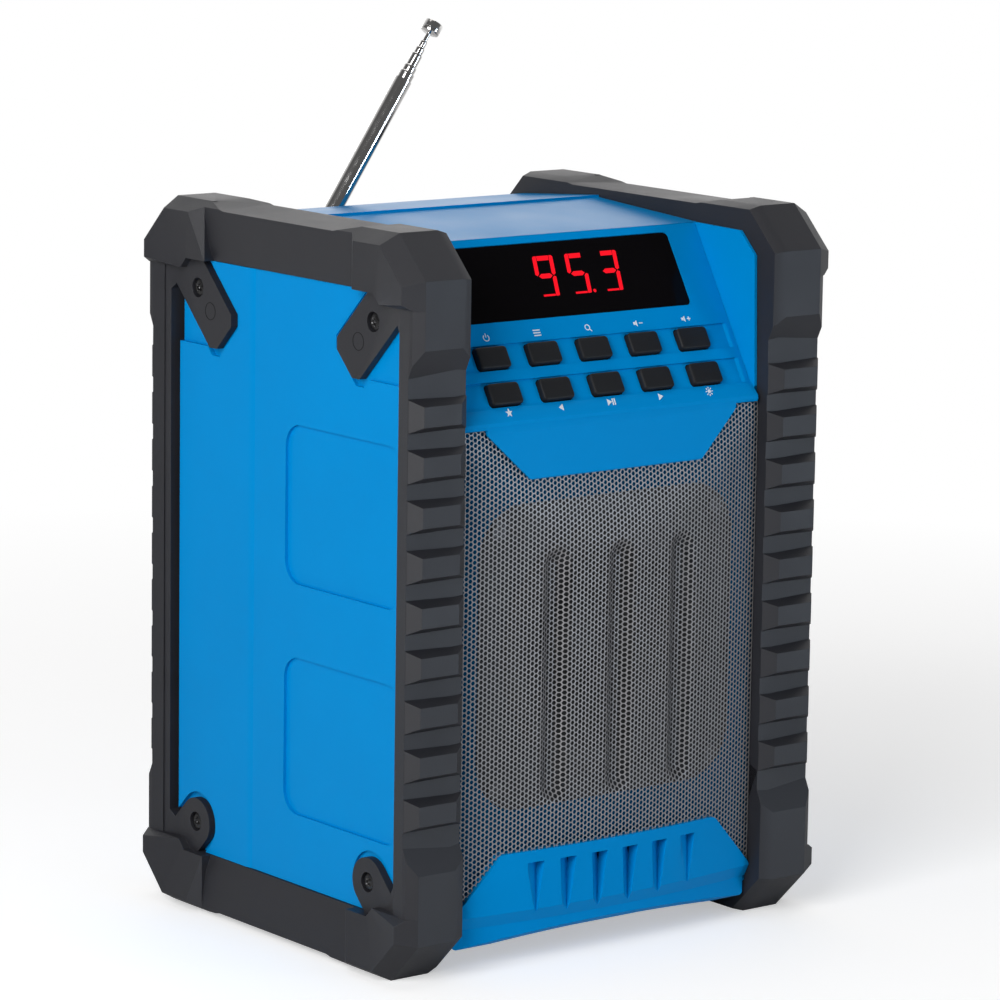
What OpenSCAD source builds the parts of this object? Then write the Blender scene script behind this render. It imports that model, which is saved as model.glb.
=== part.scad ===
// Compact jobsite radio: a moulded two-part housing held between two treaded bumper frames,
// with a slanted control panel, a bowed perforated grille and a telescopic antenna at the back.
// Millimetres. +X is to the right, +Y to the back, +Z up. The origin is on the ground, under the middle.

/* [Side frames] */
// Overall height over the side frames
frame_h = 250; // [244:1:270]
// Overall depth over the side frames
frame_d = 156; // [154:1:170]
// Gap between the inner walls of the two frames
frame_gap = 131; // [129:1:140]
// Width of a frame's front face
frame_w = 19.7; // [18.5:0.1:22]
// Size of the 45 degree cut at each corner
corner_cut = 14.4; // [10:0.2:18]
// Width of the front and back rails, seen from the side
rail_v = 12.3; // [11.5:0.1:14]
// Width of the top and bottom rails, seen from the side
rail_h = 20.5; // [18:0.1:22]
// Size of the cut at each corner of a frame's opening
opening_cut = 12; // [9:0.5:16]
// Height of the treads and corner blocks over the plain upright rail
tread_rise = 3.5; // [2.8:0.1:4]
// Height of the corner blocks over the plain top and bottom rails
rail_drop = 1.5; // [1:0.1:2.2]
// Number of treads on each upright rail
tread_count = 9; // [7:1:9]
// Distance from one tread to the next
tread_pitch = 16.6; // [14:0.05:16.8]
// Height of the lowest tread's middle above the ground
tread_foot = 58.6; // [58:0.1:60]
// Height of a tread's flat face
tread_face = 6.8; // [5:0.1:8]
// Length of a corner block down the upright rail, from the top
block_top = 37; // [33:0.5:38]
// Length of a corner block up the upright rail, from the ground
block_bottom = 38.5; // [35:0.5:40]
// Length of a corner block along the top and bottom rails
block_along = 34.8; // [30:0.2:38]
// How far the side ridge stands out from the front face
ridge_out = 3.5; // [2.5:0.1:4]
// How far the corner bumps stand out from the front face
bump_out = 7; // [5:0.1:9]
// Length of a corner bump on the upright rail
bump_v = 22; // [20:0.5:26]
// Length of a corner bump on the top and bottom rails
bump_h = 30.6; // [27:0.2:34]

/* [Frame tabs] */
// Screw distance from the middle of the depth
tab_y = 50.5; // [49.5:0.1:51.5]
// Top screw distance from the top
tab_top = 30.5; // [29.5:0.1:31.5]
// Bottom screw distance from the ground
tab_bottom = 31; // [30:0.1:32]
// Width of a top tab
tab_w = 18; // [16:0.2:19]
// Length of a top tab past its screw
tab_reach = 22.2; // [19:0.2:23]
// Radius of a bottom tab round its screw
tab_r = 8.4; // [7.5:0.1:9]
// Thickness of the tabs
tab_t = 2.8; // [2.6:0.1:3.2]

/* [Housing] */
// How far the housing's sides lie in from the frames' side faces
side_drop = 1.2; // [0.9:0.1:1.9]
// Wall thickness
wall = 2.5; // [2:0.1:3]
// Height of the housing's underside above the ground
belly_z = 6.5; // [5:0.5:8]
// Distance from the middle of the depth back to the seam
seam_y = 18.6; // [15:0.2:22]
// Distance of the housing's back face from the back of the frames
back_gap = 8; // [7.6:0.1:9]
// Drop from the top of the frames to the panel's top edge
top_drop = 8.2; // [7:0.2:10]
// Height of the crown at the seam over the panel's top edge
crown = 3.4; // [2:0.1:4]
// Step from the front shell to the back shell at the seam
seam_step = 0.8; // [0.4:0.1:1]
// Drop of the back shell's top from the seam to its back edge
top_fall = 3.6; // [2:0.1:5]
// Gap between the housing's wide sides and the frames' upright rails
side_gap = 2.9; // [1:0.1:3.2]
// Radius of the back shell's top and bottom edges
back_r = 8; // [5:0.5:10]
// Depth of the sunk panels in the sides
sunk_t = 1.2; // [0.6:0.1:1.5]
// Height of each sunk side panel
sunk_h = 54.5; // [45:0.5:60]
// Running gap between pieces that fit into each other
fit_gap = 0.2; // [0.15:0.01:0.25]

/* [Control panel] */
// Lean of the control panel from upright, in degrees
panel_tilt = 31; // [29:0.5:33]
// Length of the control panel up its slope
panel_len = 68; // [67:0.5:70]
// Thickness of the control panel
panel_t = 2.5; // [2.2:0.1:3]
// Width of the display window
window_w = 100.6; // [90:0.2:103]
// Height of the display window up the slope
window_h = 27.7; // [24:0.1:29]
// Distance from the panel's foot to the window's lower edge
window_s = 37.5; // [36.8:0.1:38]
// Distance from the panel's foot to the middle of the lower buttons
row_low = 11.8; // [11.2:0.1:12]
// Distance from the panel's foot to the middle of the upper buttons
row_high = 24.9; // [24.5:0.1:25.4]
// Distance from one button to the next
button_pitch = 21.8; // [21:0.1:22.4]
// Distance of the middle buttons from the middle of the panel, to the right
button_shift = 1.5; // [0:0.1:2]
// Width of a button
button_w = 13; // [11:0.1:15]
// Height of a button
button_h = 7.8; // [6.5:0.1:8.2]
// How far a button stands out of the panel
button_rise = 1.6; // [1.3:0.1:2.2]
// Travel of a button
button_travel = 0.8; // [0.5:0.05:0.9]
// Height of the sunk bands that hold the buttons
band_h = 9.2; // [9:0.1:9.6]
// Depth of the sunk bands
band_t = 0.6; // [0.3:0.05:0.8]
// Width of the badge plate at its top
badge_w = 108; // [100:0.5:112]
// Width of the badge plate at its bottom
badge_foot = 74; // [66:0.5:78]
// Height of the badge plate
badge_h = 16; // [13:0.2:18]
// How far the badge plate stands out of the grille
badge_rise = 1.1; // [0.9:0.05:1.4]

/* [Grille and speaker] */
// Rise of the grille's bow at its middle
bow = 5.2; // [4:0.1:5.4]
// Thickness of the grille sheet
grille_t = 1; // [0.8:0.05:1.1]
// Distance from one row of holes to the next
hole_pitch = 7; // [6.5:0.1:9]
// Diameter of the grille's holes
hole_d = 4.6; // [3:0.1:5]
// Distance between the three pressed channels
channel_pitch = 27.4; // [25:0.1:29]
// Width of a pressed channel
channel_w = 11.5; // [9:0.1:13]
// Length of a pressed channel
channel_len = 87; // [70:1:94]
// Distance of the middle channel from the middle of the grille, to the right
channel_shift = 1.6; // [0:0.1:2]
// Depth of a pressed channel
channel_t = 2.4; // [1.5:0.1:2.6]
// Height of the speaker's centre above the ground
speaker_z = 105; // [102:0.5:107]
// Width of the speaker's square flange
flange_w = 110; // [104:0.5:112]
// Height of the speaker's square flange
flange_h = 104; // [100:0.5:106]
// Diameter of the speaker's cone with its surround
cone_d = 92; // [84:0.5:94]
// Depth of the speaker from its flange to the back of its magnet
speaker_t = 44; // [38:0.5:48]
// Diameter of the magnet
magnet_d = 62; // [50:1:66]
// Height of the lower trim's top edge above the ground
trim_top = 39.5; // [37:0.5:41]
// Height of the lower trim's bottom edge above the ground
trim_foot = 14.8; // [13:0.2:17]
// How far the lower trim stands out of the grille
trim_rise = 1.2; // [0.8:0.1:1.5]
// Number of vents in the lower trim
vent_count = 6; // [4:1:6]
// Distance from one vent to the next
vent_pitch = 13.35; // [11:0.05:14]

/* [Inside] */
// Diameter of a battery cell
cell_d = 18.4; // [17:0.1:19]
// Length of a battery cell
cell_len = 65; // [60:1:70]
// Thickness of the circuit boards
board_t = 1.6; // [1.2:0.1:2]
// Diameter of the screws' shanks
screw_d = 3; // [2.5:0.1:3.2]
// Diameter of the screws' heads
head_d = 5.6; // [5:0.1:6]
// Distance of the housing screws from the middle
housing_screw_x = 57; // [55:0.5:58]

/* [Rear ports] */
// Width of the port bay
bay_w = 64; // [56:1:72]
// Height of the port bay
bay_h = 26; // [22:0.5:30]
// Depth of the port bay
bay_t = 9; // [8:0.2:11]
// Height of the port bay's middle above the ground
bay_z = 58; // [50:1:70]
// Thickness of the port cover
cover_t = 2; // [1.6:0.1:2.4]
// Diameter of the port cover's hinge pin
cover_pin_d = 1.6; // [1.4:0.1:1.8]

/* [Antenna] */
// Lean of the antenna from upright, in degrees
antenna_lean = 34.4; // [10:0.2:40]
// Distance of the antenna's pivot from the middle, to the left
antenna_x = 44; // [38:0.5:46]
// Height of the antenna's pivot above the ground
antenna_z = 192.6; // [185:0.2:198]
// Distance of the antenna from the back of the frames
antenna_in = 4.2; // [4:0.05:4.3]
// Outer diameter of the widest tube
tube_d = 6.4; // [6.2:0.1:6.6]
// Step in diameter from one tube to the next
tube_step = 0.8; // [0.76:0.01:0.82]
// Wall of a tube
tube_wall = 0.32; // [0.3:0.01:0.34]
// Distance from the pivot to the mouth of the widest tube
tube_len = 111.4; // [90:0.2:120]
// Diameter of the knob
knob_d = 7; // [6:0.1:7.2]
// Length of the knob
knob_len = 4.2; // [3:0.1:6]

/* [Hidden] */
$fn = 48;

blue = [0, 0.5, 0.8];
rubber = [0.2, 0.2, 0.21];
steel = [0.62, 0.62, 0.64];
chrome = [0.8, 0.8, 0.82];

// A small amount by which a cutting solid runs past the surface that it cuts
eps = 0.5;
// A length beyond the whole model
far = 600;

// Side frames
half_d = frame_d / 2;
wall_x = frame_gap / 2;
face_x = wall_x + frame_w;
ridge_x = face_x + ridge_out;
bump_x = face_x + bump_out;
ridge_in = tread_rise + 0.9;
flat_ridge_in = rail_drop + 0.9;
bump_in = 4.2;
block_ridge_in = 2.4;
inner_bevel = 4.4;
// Fall of the frames' side faces towards the opening, per millimetre: gentle, then steep at its edge
side_fall = 0.15;
edge_fall = 0.38;
edge_v = 4.5;
edge_h = 5.5;
bump_fall = 0.21;
block_ramp = 7.4;
bump_ramp_v = 2;
bump_ramp_h = 5;
tread_ramp = 0.53;

// Tabs
tab_chamfer = 3;
pocket_gap = 2;
pocket_t = 1.2;
side_x = face_x - side_drop;
pocket_x = side_x - pocket_t;
tab_x = pocket_x + fit_gap;
tab_face_x = tab_x + tab_t;
head_t = 1.5;
head_sink = 0.3;
head_gap = 0.6;
tab_seat_x = tab_face_x - head_sink - head_t;
frame_screw_len = 12;
tabs = [
    for (zs = [[frame_h - tab_top, 1], [tab_bottom, -1]], s = [-1, 1]) [s * tab_y, zs[0], s, zs[1]]
];

// Housing
front_y = -(half_d - 7.5);
baffle_y = front_y + 1.5;
back_y = half_d - back_gap;
side_y = half_d - rail_v - side_gap;
core_x = wall_x - fit_gap;
cheek_t = 1.3;
panel_x = core_x - cheek_t;
panel_top_z = frame_h - top_drop;
panel_foot_z = panel_top_z - panel_len * cos(panel_tilt);
panel_top_y = front_y + panel_len * sin(panel_tilt);
crown_z = panel_top_z + crown;
baffle_t = 3.5;
ledge_t = 2;
rear_top_z = crown_z + seam_step;

// Buttons and control board, measured from the panel's face inwards
button_gap = 0.3;
flange_lip = 0.8;
flange_t = 1;
switch_h = 3.5;
board_n = panel_t + fit_gap + flange_t + switch_h + button_travel + 0.4;
button_names = [
    "button_power", "button_mode", "button_scan", "button_volume_down", "button_volume_up",
    "button_preset", "button_previous", "button_play", "button_next", "button_dimmer"
];

// Grille
bow_r = (wall_x * wall_x + bow * bow) / (2 * bow);
bow_y = front_y + 0.5 - bow + bow_r;
grille_top_z = panel_foot_z - fit_gap;
grille_foot_z = trim_foot + 3;
grille_x = core_x - fit_gap;
channel_mid = 98.5;
channel_slope = 1.6;
trim_top_half = 46.6;
trim_slant_z = trim_top - 19.5;
bend_z = grille_top_z - 38;
bend = bow / (panel_foot_z - bend_z);

// Speaker
flange_sheet = 1.5;
flange_r = 18;
cone_open = cone_d + 2;
basket_y = baffle_y + flange_sheet;
magnet_t = 17;
magnet_y = basket_y + speaker_t - magnet_t;

// Antenna
antenna_y = half_d - antenna_in;
elbow_d = 13;
elbow_t = 3;
elbow_seat = 0.4;
stud_d = 4;
stud_gap = 0.05;
hinge_pin_d = 2;
ear_t = 2;
ear_r = 3.2;
tongue_t = 2.8;
tongue_end = 5;
section_outs = [3.3, 5.9, 11, 13.7, 16.5, 20.1];
section_in = 26;
section_stagger = 2;
knob_gap = 0.3;

// ---------------------------------------------------------------- shared shapes

// Distance between two points that a line through p along u and one through q along v meet at
function meet(p, u, q, v) =
    let (det = u.x * v.y - u.y * v.x)
    p + u * (((q.x - p.x) * v.y - (q.y - p.y) * v.x) / det);

function unit(v) = v / norm(v);

// A convex outline, drawn anticlockwise, moved inwards by d
function inset(pts, d) =
    let (n = len(pts))
    [
        for (i = [0 : n - 1])
            let (
                b = pts[i],
                u = unit(b - pts[(i + n - 1) % n]),
                v = unit(pts[(i + 1) % n] - b)
            )
            meet(b + d * [-u.y, u.x], u, b + d * [-v.y, v.x], v)
    ];

// A rectangle of half sizes a and b with its corners cut at 45 degrees
function cut_rect(a, b, cut) = [
    [a - cut, -b], [a, cut - b], [a, b - cut], [a - cut, b],
    [cut - a, b], [-a, b - cut], [-a, cut - b], [cut - a, -b]
];

// A convex outline, drawn anticlockwise, with its corners rounded to radius r
function rounded(pts, r, steps = 5) =
    let (n = len(pts))
    [
        for (i = [0 : n - 1])
            let (
                p = pts[i],
                u = unit(pts[(i + n - 1) % n] - p),
                v = unit(pts[(i + 1) % n] - p),
                half = acos(u * v) / 2,
                c = p + unit(u + v) * r / sin(half),
                first = p + u * r / tan(half) - c,
                start = atan2(first.y, first.x)
            )
            for (k = [0 : steps])
                let (t = start + (180 - 2 * half) * k / steps)
                c + r * [cos(t), sin(t)]
    ];

module rounded_rect(w, h, r) {
    square([w - 2 * r, h], center = true);
    square([w, h - 2 * r], center = true);
    for (x = [-1, 1], y = [-1, 1])
        translate([x * (w / 2 - r), y * (h / 2 - r)]) circle(r);
}

// Draws its 2D children in the XZ plane and extrudes them from y0 to y1
module along_y(y0, y1) {
    translate([0, y1, 0]) rotate([90, 0, 0]) linear_extrude(y1 - y0) children();
}

// Draws its 2D children in the YZ plane and extrudes them from x0 to x1
module along_x(x0, x1) {
    translate([x0, 0, 0]) rotate([90, 0, 90]) linear_extrude(x1 - x0) children();
}

// A rod along +Y
module rod_y(d, y0, y1) {
    translate([0, y0, 0]) rotate([-90, 0, 0]) cylinder(d = d, h = y1 - y0);
}

// A rod along +X
module rod_x(d, x0, x1) {
    translate([x0, 0, 0]) rotate([0, 90, 0]) cylinder(d = d, h = x1 - x0);
}

// Puts its children on the control panel: X along it, Y up its slope, Z out of its face
module on_panel() {
    translate([0, front_y, panel_foot_z]) rotate([90 - panel_tilt, 0, 0]) children();
}

// ---------------------------------------------------------------- side frames

// One pair of parallel sides of a frame solid. profile lists [inset, x] from the wall outwards.
module frame_prism(half, profile) {
    right = [for (p = profile) [half - p[0], p[1]]];
    left = [for (i = [len(profile) - 1 : -1 : 0]) [profile[i][0] - half, profile[i][1]]];
    rotate(180, [1, 1, 0]) linear_extrude(far, center = true) polygon(concat(right, left));
}

// A solid with the frame's eight-sided outline, whose sides follow the profile, and its top and
// bottom the flat profile
module frame_solid(profile, flat) {
    translate([0, 0, frame_h / 2]) intersection() {
        frame_prism(half_d, profile);
        rotate([90, 0, 0]) frame_prism(frame_h / 2, flat);
        for_diagonals(profile);
    }
}

module for_diagonals(profile) {
    half_diagonal = (half_d + frame_h / 2 - corner_cut) / sqrt(2);
    intersection() {
        rotate([45, 0, 0]) frame_prism(half_diagonal, profile);
        rotate([-45, 0, 0]) frame_prism(half_diagonal, profile);
    }
}

// Profile of a dish whose sides fall from [inset, x] towards the opening
function dish_profile(top, fall) =
    let (low_in = rail_h + 10, lift = 1)
    [[low_in, top.y - fall * (low_in - top.x)], [top.x - lift / fall, top.y + lift]];

// The shallow dish that makes the side faces fall from their ridge, and its steeper edge
module side_dish() {
    break_v = rail_v - edge_v;
    break_h = rail_h - edge_h;
    frame_solid(
        dish_profile([ridge_in, ridge_x], side_fall),
        dish_profile([flat_ridge_in, ridge_x], side_fall));
    frame_solid(
        dish_profile([break_v, ridge_x - side_fall * (break_v - ridge_in)], edge_fall),
        dish_profile([break_h, ridge_x - side_fall * (break_h - flat_ridge_in)], edge_fall));
}

// Side view of one raised corner: p runs in from the front or back, q from the top or bottom
module corner_outline(block_v) {
    foot_v = block_v + block_ramp * ridge_in / tread_rise;
    foot_h = block_along + block_ramp * flat_ridge_in / rail_drop;
    polygon([
        [0, corner_cut], [corner_cut, 0], [block_along, 0],
        [foot_h, flat_ridge_in], [foot_h, rail_h],
        [rail_v, rail_h], [rail_v, foot_v], [ridge_in, foot_v],
        [0, block_v]
    ]);
}

module tread_outline() {
    foot = min(tread_face / 2 + tread_ramp * 5, tread_pitch / 2 - 0.4);
    deep = (foot - tread_face / 2) / tread_ramp;
    polygon([
        [0, -tread_face / 2], [deep, -foot], [rail_v, -foot],
        [rail_v, foot], [deep, foot], [0, tread_face / 2]
    ]);
}

module block_outlines() {
    for (m = [0, 1]) mirror([m, 0]) {
        translate([-half_d, frame_h]) mirror([0, 1]) corner_outline(block_top);
        translate([-half_d, 0]) corner_outline(block_bottom);
    }
}

module tread_outlines() {
    for (m = [0, 1]) mirror([m, 0]) for (i = [0 : tread_count - 1])
        translate([-half_d, tread_foot + i * tread_pitch]) tread_outline();
}

// The corner bumps that stand out sideways, with ramps at their ends
module corner_bumps() {
    low_x = face_x - 2;
    reach_v = frame_h / 2 - bump_v;
    reach_h = half_d - bump_h;
    profile = [[0, low_x], [0, face_x], [bump_in - 0.4, bump_x]];
    dish = dish_profile([bump_in, bump_x], bump_fall);
    difference() {
        frame_solid(profile, profile);
        frame_solid(dish, dish);
        // Clears the middle of the upright rails
        translate([0, 0, frame_h / 2]) rotate([90, 0, 0]) linear_extrude(far, center = true)
            polygon([
                [low_x - 1, bump_ramp_v - reach_v], [ridge_x, bump_ramp_v - reach_v],
                [bump_x, -reach_v], [bump_x + 1, -reach_v], [bump_x + 1, reach_v],
                [bump_x, reach_v], [ridge_x, reach_v - bump_ramp_v], [low_x - 1, reach_v - bump_ramp_v]
            ]);
        // Clears the middle of the top and bottom rails
        linear_extrude(far, center = true)
            polygon([
                [low_x - 1, bump_ramp_h - reach_h], [ridge_x, bump_ramp_h - reach_h],
                [bump_x, -reach_h], [bump_x + 1, -reach_h], [bump_x + 1, reach_h],
                [bump_x, reach_h], [ridge_x, reach_h - bump_ramp_h], [low_x - 1, reach_h - bump_ramp_h]
            ]);
    }
}

module frame_opening() {
    translate([0, frame_h / 2])
        polygon(cut_rect(half_d - rail_v, frame_h / 2 - rail_h, opening_cut));
}

// Side view of a tab, grown by grow: X runs inwards from the screw, along the diagonal
module tab_outline(top, grow = 0) {
    root = 16;
    chamfer = tab_chamfer;
    w = (top ? tab_w / 2 : tab_r) + grow;
    if (top)
        polygon([
            [-root, -w], [tab_reach - chamfer + grow, -w], [tab_reach + grow, chamfer - w],
            [tab_reach + grow, w - chamfer], [tab_reach - chamfer + grow, w], [-root, w]
        ]);
    else {
        circle(w);
        translate([-root, -w]) square([root, 2 * w]);
    }
}

// Puts 2D children at a tab, turned so that X runs towards the middle of the side
module at_tab(t) {
    translate([t[0], t[1]]) rotate(atan2(-t[3], -t[2])) children();
}

module at_tab_screws(s) {
    for (t = tabs)
        if (s == 0 || t[2] == s) translate([0, t[0], t[1]]) children();
}

// Profile of a plain rail that lies deep under the blocks, with its ridge at inset ridge
function rail_profile(deep, ridge) =
    [[deep + 0.3, wall_x], [deep, wall_x + inner_bevel], [ridge, ridge_x]];

// Profile of a raised part, whose bevels end at insets inner and outer
function raised_profile(inner, outer) =
    [[inner, wall_x], [0, wall_x + inner_bevel], [0, face_x], [outer, ridge_x]];

module side_frame() {
    block = raised_profile(rail_drop + 0.1, block_ridge_in);
    flat_block = raised_profile(rail_drop - 0.2, flat_ridge_in - 0.5);
    tread = raised_profile(tread_rise - 0.1, ridge_in - 0.5);
    difference() {
        union() {
            difference() {
                union() {
                    difference() {
                        union() {
                            frame_solid(
                                rail_profile(tread_rise, ridge_in),
                                rail_profile(rail_drop, flat_ridge_in));
                            intersection() {
                                frame_solid(block, flat_block);
                                along_x(wall_x, ridge_x) block_outlines();
                            }
                            intersection() {
                                frame_solid(tread, tread);
                                along_x(wall_x, ridge_x) tread_outlines();
                            }
                        }
                        side_dish();
                    }
                    corner_bumps();
                }
                along_x(wall_x - 1, bump_x + 1) frame_opening();
            }
            along_x(tab_x, tab_face_x) for (t = tabs) at_tab(t) tab_outline(t[3] > 0);
        }
        at_tab_screws(0) {
            rod_x(screw_d + 0.4, wall_x, far / 2);
            rod_x(head_d + 2 * head_gap, tab_seat_x, far / 2);
        }
    }
}

module screw_x(head_x, length) {
    rod_x(screw_d, head_x - length, head_x);
    difference() {
        rod_x(head_d, head_x, head_x + head_t);
        for (a = [0, 90]) rotate([a, 0, 0])
            translate([head_x + head_t - 0.9, -1.6, -0.35]) cube([1, 3.2, 0.7]);
    }
}

module frame_screws() {
    at_tab_screws(0) screw_x(tab_seat_x, frame_screw_len);
}

// ---------------------------------------------------------------- housing

// Side view of the middle of the front shell, up to the seam
core_front = [
    [baffle_y + 7, belly_z], [seam_y, belly_z], [seam_y, crown_z], [panel_top_y, panel_top_z],
    [panel_top_y - 24, panel_top_z - 0.5], [baffle_y + 1.6, panel_top_z - 8.3],
    [baffle_y, panel_foot_z + 5], [baffle_y, belly_z + 7]
];

// Side view of the middle of the back shell
core_rear = concat(
    [[seam_y, belly_z]],
    [for (k = [0 : 6]) [back_y - back_r + back_r * sin(15 * k), belly_z + back_r - back_r * cos(15 * k)]],
    [
        for (k = [0 : 6])
            [back_y - back_r + back_r * cos(15 * k), rear_top_z - top_fall - back_r + back_r * sin(15 * k)]
    ],
    [[seam_y, rear_top_z]]
);

// Side view of the housing's wide part, moved inwards by d
module side_outline(d = 0) {
    translate([0, frame_h / 2])
        polygon(cut_rect(side_y - d, frame_h / 2 - rail_h - fit_gap - d, opening_cut));
}

// Blocks that carry the frame screws on the inside of a shell
module tab_bosses(s) {
    at_tab_screws(s) for (m = [0, 1]) mirror([m, 0, 0])
        rod_x(screw_d + 5, side_x - frame_screw_len - 4, pocket_x);
}

// The corner zone beside a top tab, sunk as deep as its pocket from the tab's foot upwards
module tab_zone(t) {
    reach = (tab_reach - tab_chamfer + tab_w / 2) / sqrt(2);
    low = t[1] - reach;
    y = abs(t[0]) - (tab_reach - tab_chamfer - tab_w / 2) / sqrt(2);
    mirror([t[2] < 0 ? 1 : 0, 0]) polygon([[y, low], [half_d, low], [half_d, frame_h], [abs(t[0]), frame_h], [abs(t[0]), t[1]]]);
}

module tab_cuts(s) {
    for (m = [0, 1]) mirror([m, 0, 0]) {
        along_x(pocket_x, side_x + 3) for (t = tabs) if (t[2] == s) {
            at_tab(t) tab_outline(t[3] > 0, pocket_gap);
            if (t[3] > 0) tab_zone(t);
        }
        at_tab_screws(s) rod_x(screw_d + 0.1, tab_seat_x - frame_screw_len - 1, side_x + 1);
    }
}

// The posts through which the two shells are screwed together
housing_screw_z = [belly_z + 9.5, frame_h / 2 + 4, panel_top_z - 11];
module at_housing_screws() {
    for (x = [-1, 1], z = housing_screw_z) translate([x * housing_screw_x, 0, z]) children();
}

module front_housing() {
    cavity = inset(core_front, wall);
    difference() {
        union() {
            difference() {
                union() {
                    along_x(-core_x, core_x) polygon(core_front);
                    intersection() {
                        along_x(-side_x, side_x) side_outline();
                        translate([-side_x, -half_d, 0]) cube([2 * side_x, half_d + seam_y, frame_h]);
                    }
                }
                along_x(wall - core_x, core_x - wall) intersection() {
                    polygon(concat(
                        [cavity[0], [seam_y + 1, cavity[1].y], [seam_y + 1, cavity[2].y]],
                        [for (i = [3 : 7]) cavity[i]]));
                    translate([baffle_y + baffle_t, 0]) square([far, frame_h]);
                }
                difference() {
                    intersection() {
                        along_x(wall - side_x, side_x - wall) side_outline(wall);
                        translate([-side_x, wall - side_y, 0])
                            cube([2 * side_x, side_y - wall + seam_y + 1, frame_h]);
                    }
                    cheeks();
                }
                panel_recess();
            }
            tab_bosses(-1);
            front_posts();
            panel_ledge();
            battery_rails();
        }
        tab_cuts(-1);
        sunk_panels();
        speaker_cuts();
        at_housing_screws() rod_y(screw_d + 0.1, seam_y - 22, seam_y + 1);
        at_housing_screws() rod_y(screw_d + 1, seam_y - 1, seam_y + 1);
    }
}

// A point of the side view, s up the panel's slope and n out of its face
function panel_point(s, n) = [
    front_y + s * sin(panel_tilt) - n * cos(panel_tilt),
    panel_foot_z + s * cos(panel_tilt) + n * sin(panel_tilt)
];

// Everything in front of the panel's back face, between the cheeks
module panel_recess() {
    half = panel_x + fit_gap;
    nose_y = baffle_y + panel_t;
    nose_z = panel_foot_z - 0.8;
    back_n = -panel_t - fit_gap;
    foot_s = (nose_y - panel_point(0, back_n).x) / sin(panel_tilt);
    along_x(-half, half) polygon([
        [-half_d, nose_z], [nose_y, nose_z], panel_point(foot_s, back_n),
        panel_point(panel_len, back_n), panel_point(panel_len, 40), [-half_d, frame_h + 20]
    ]);
}

// The walls beside the panel, which close off the wide part of the shell
module cheeks() {
    for (m = [0, 1]) mirror([m, 0, 0])
        on_panel() translate([panel_x - 0.6, -20, -panel_t - fit_gap - ledge_t - 1])
            cube([core_x - panel_x + 0.6, panel_len + 40, 60]);
}

// The frame round the hole behind the panel, on which the panel sits
module panel_ledge() {
    ledge = 2.5;
    x = panel_x + 0.8;
    on_panel() difference() {
        translate([-x, 2, -panel_t - fit_gap - ledge_t]) cube([2 * x, panel_len - 4, ledge_t]);
        translate([-panel_x + ledge, 2 + ledge, -panel_t - 2 * ledge_t])
            cube([2 * (panel_x - ledge), panel_len - 4 - 2 * ledge, 3 * ledge_t]);
    }
}

module front_posts() {
    at_housing_screws() rod_y(screw_d + 4.6, seam_y - 24, seam_y - fit_gap / 2);
    // Webs that tie the posts to the housing's side walls
    for (s = [-1, 1], i = [0 : 2]) {
        reach = (i == 1 ? side_x - wall : core_x - wall) + eps;
        translate([s * (housing_screw_x + reach) / 2, seam_y - 12.5, housing_screw_z[i]])
            cube([reach - housing_screw_x, 22, 2], center = true);
    }
}

module sunk_panels() {
    for (m = [0, 1], z = [0.608 * frame_h, 0.289 * frame_h]) mirror([m, 0, 0])
        along_x(side_x - sunk_t, side_x + 1)
            translate([-side_y / 2 - 1, z]) rounded_rect(side_y + 3, sunk_h, 8);
}

module speaker_cuts() {
    translate([0, 0, speaker_z]) {
        along_y(baffle_y - 1, baffle_y + flange_sheet)
            rounded_rect(flange_w + 2 * fit_gap, flange_h + 2 * fit_gap, flange_r + fit_gap);
        rod_y(cone_open, baffle_y, baffle_y + 30);
        at_speaker_screws() rod_y(screw_d + 0.1, baffle_y, baffle_y + 10);
    }
}

module battery_rails() {
    for (x = [-1, 1])
        translate([x * (tray_w / 2 + fit_gap + 1) - 1, tray_y - battery_d / 2, belly_z + wall - 0.5])
            cube([2, battery_d, 5]);
}

module rear_housing() {
    cavity = inset(core_rear, wall);
    n = len(cavity);
    flare = 0.6;
    difference() {
        union() {
            difference() {
                union() {
                    along_x(-core_x, core_x) polygon(core_rear);
                    intersection() {
                        along_x(-side_x - flare, side_x + flare) side_outline();
                        linear_extrude(frame_h) polygon([
                            [-side_x, seam_y], [side_x, seam_y], [side_x + flare, seam_y + 3],
                            [side_x + flare, half_d], [-side_x - flare, half_d],
                            [-side_x - flare, seam_y + 3]
                        ]);
                    }
                }
                along_x(wall - core_x, core_x - wall)
                    polygon(concat(
                        [[seam_y - 1, cavity[0].y]], [for (i = [1 : n - 2]) cavity[i]],
                        [[seam_y - 1, cavity[n - 1].y]]));
                intersection() {
                    along_x(wall - side_x, side_x - wall) side_outline(wall);
                    translate([-side_x, seam_y - 1, 0])
                        cube([2 * side_x, side_y - wall - seam_y + 1, frame_h]);
                }
            }
            tab_bosses(1);
            rear_posts();
            bay_shell();
            board_posts();
            antenna_boss();
        }
        tab_cuts(1);
        at_housing_screws() {
            rod_y(screw_d + 0.4, seam_y, back_y);
            rod_y(head_d + 1, seam_y + 8, back_y + 1);
        }
        bay_cut();
        antenna_cut();
        at_board_screws() rod_y(screw_d + 0.1, board_y, board_y + 12);
    }
}

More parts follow.
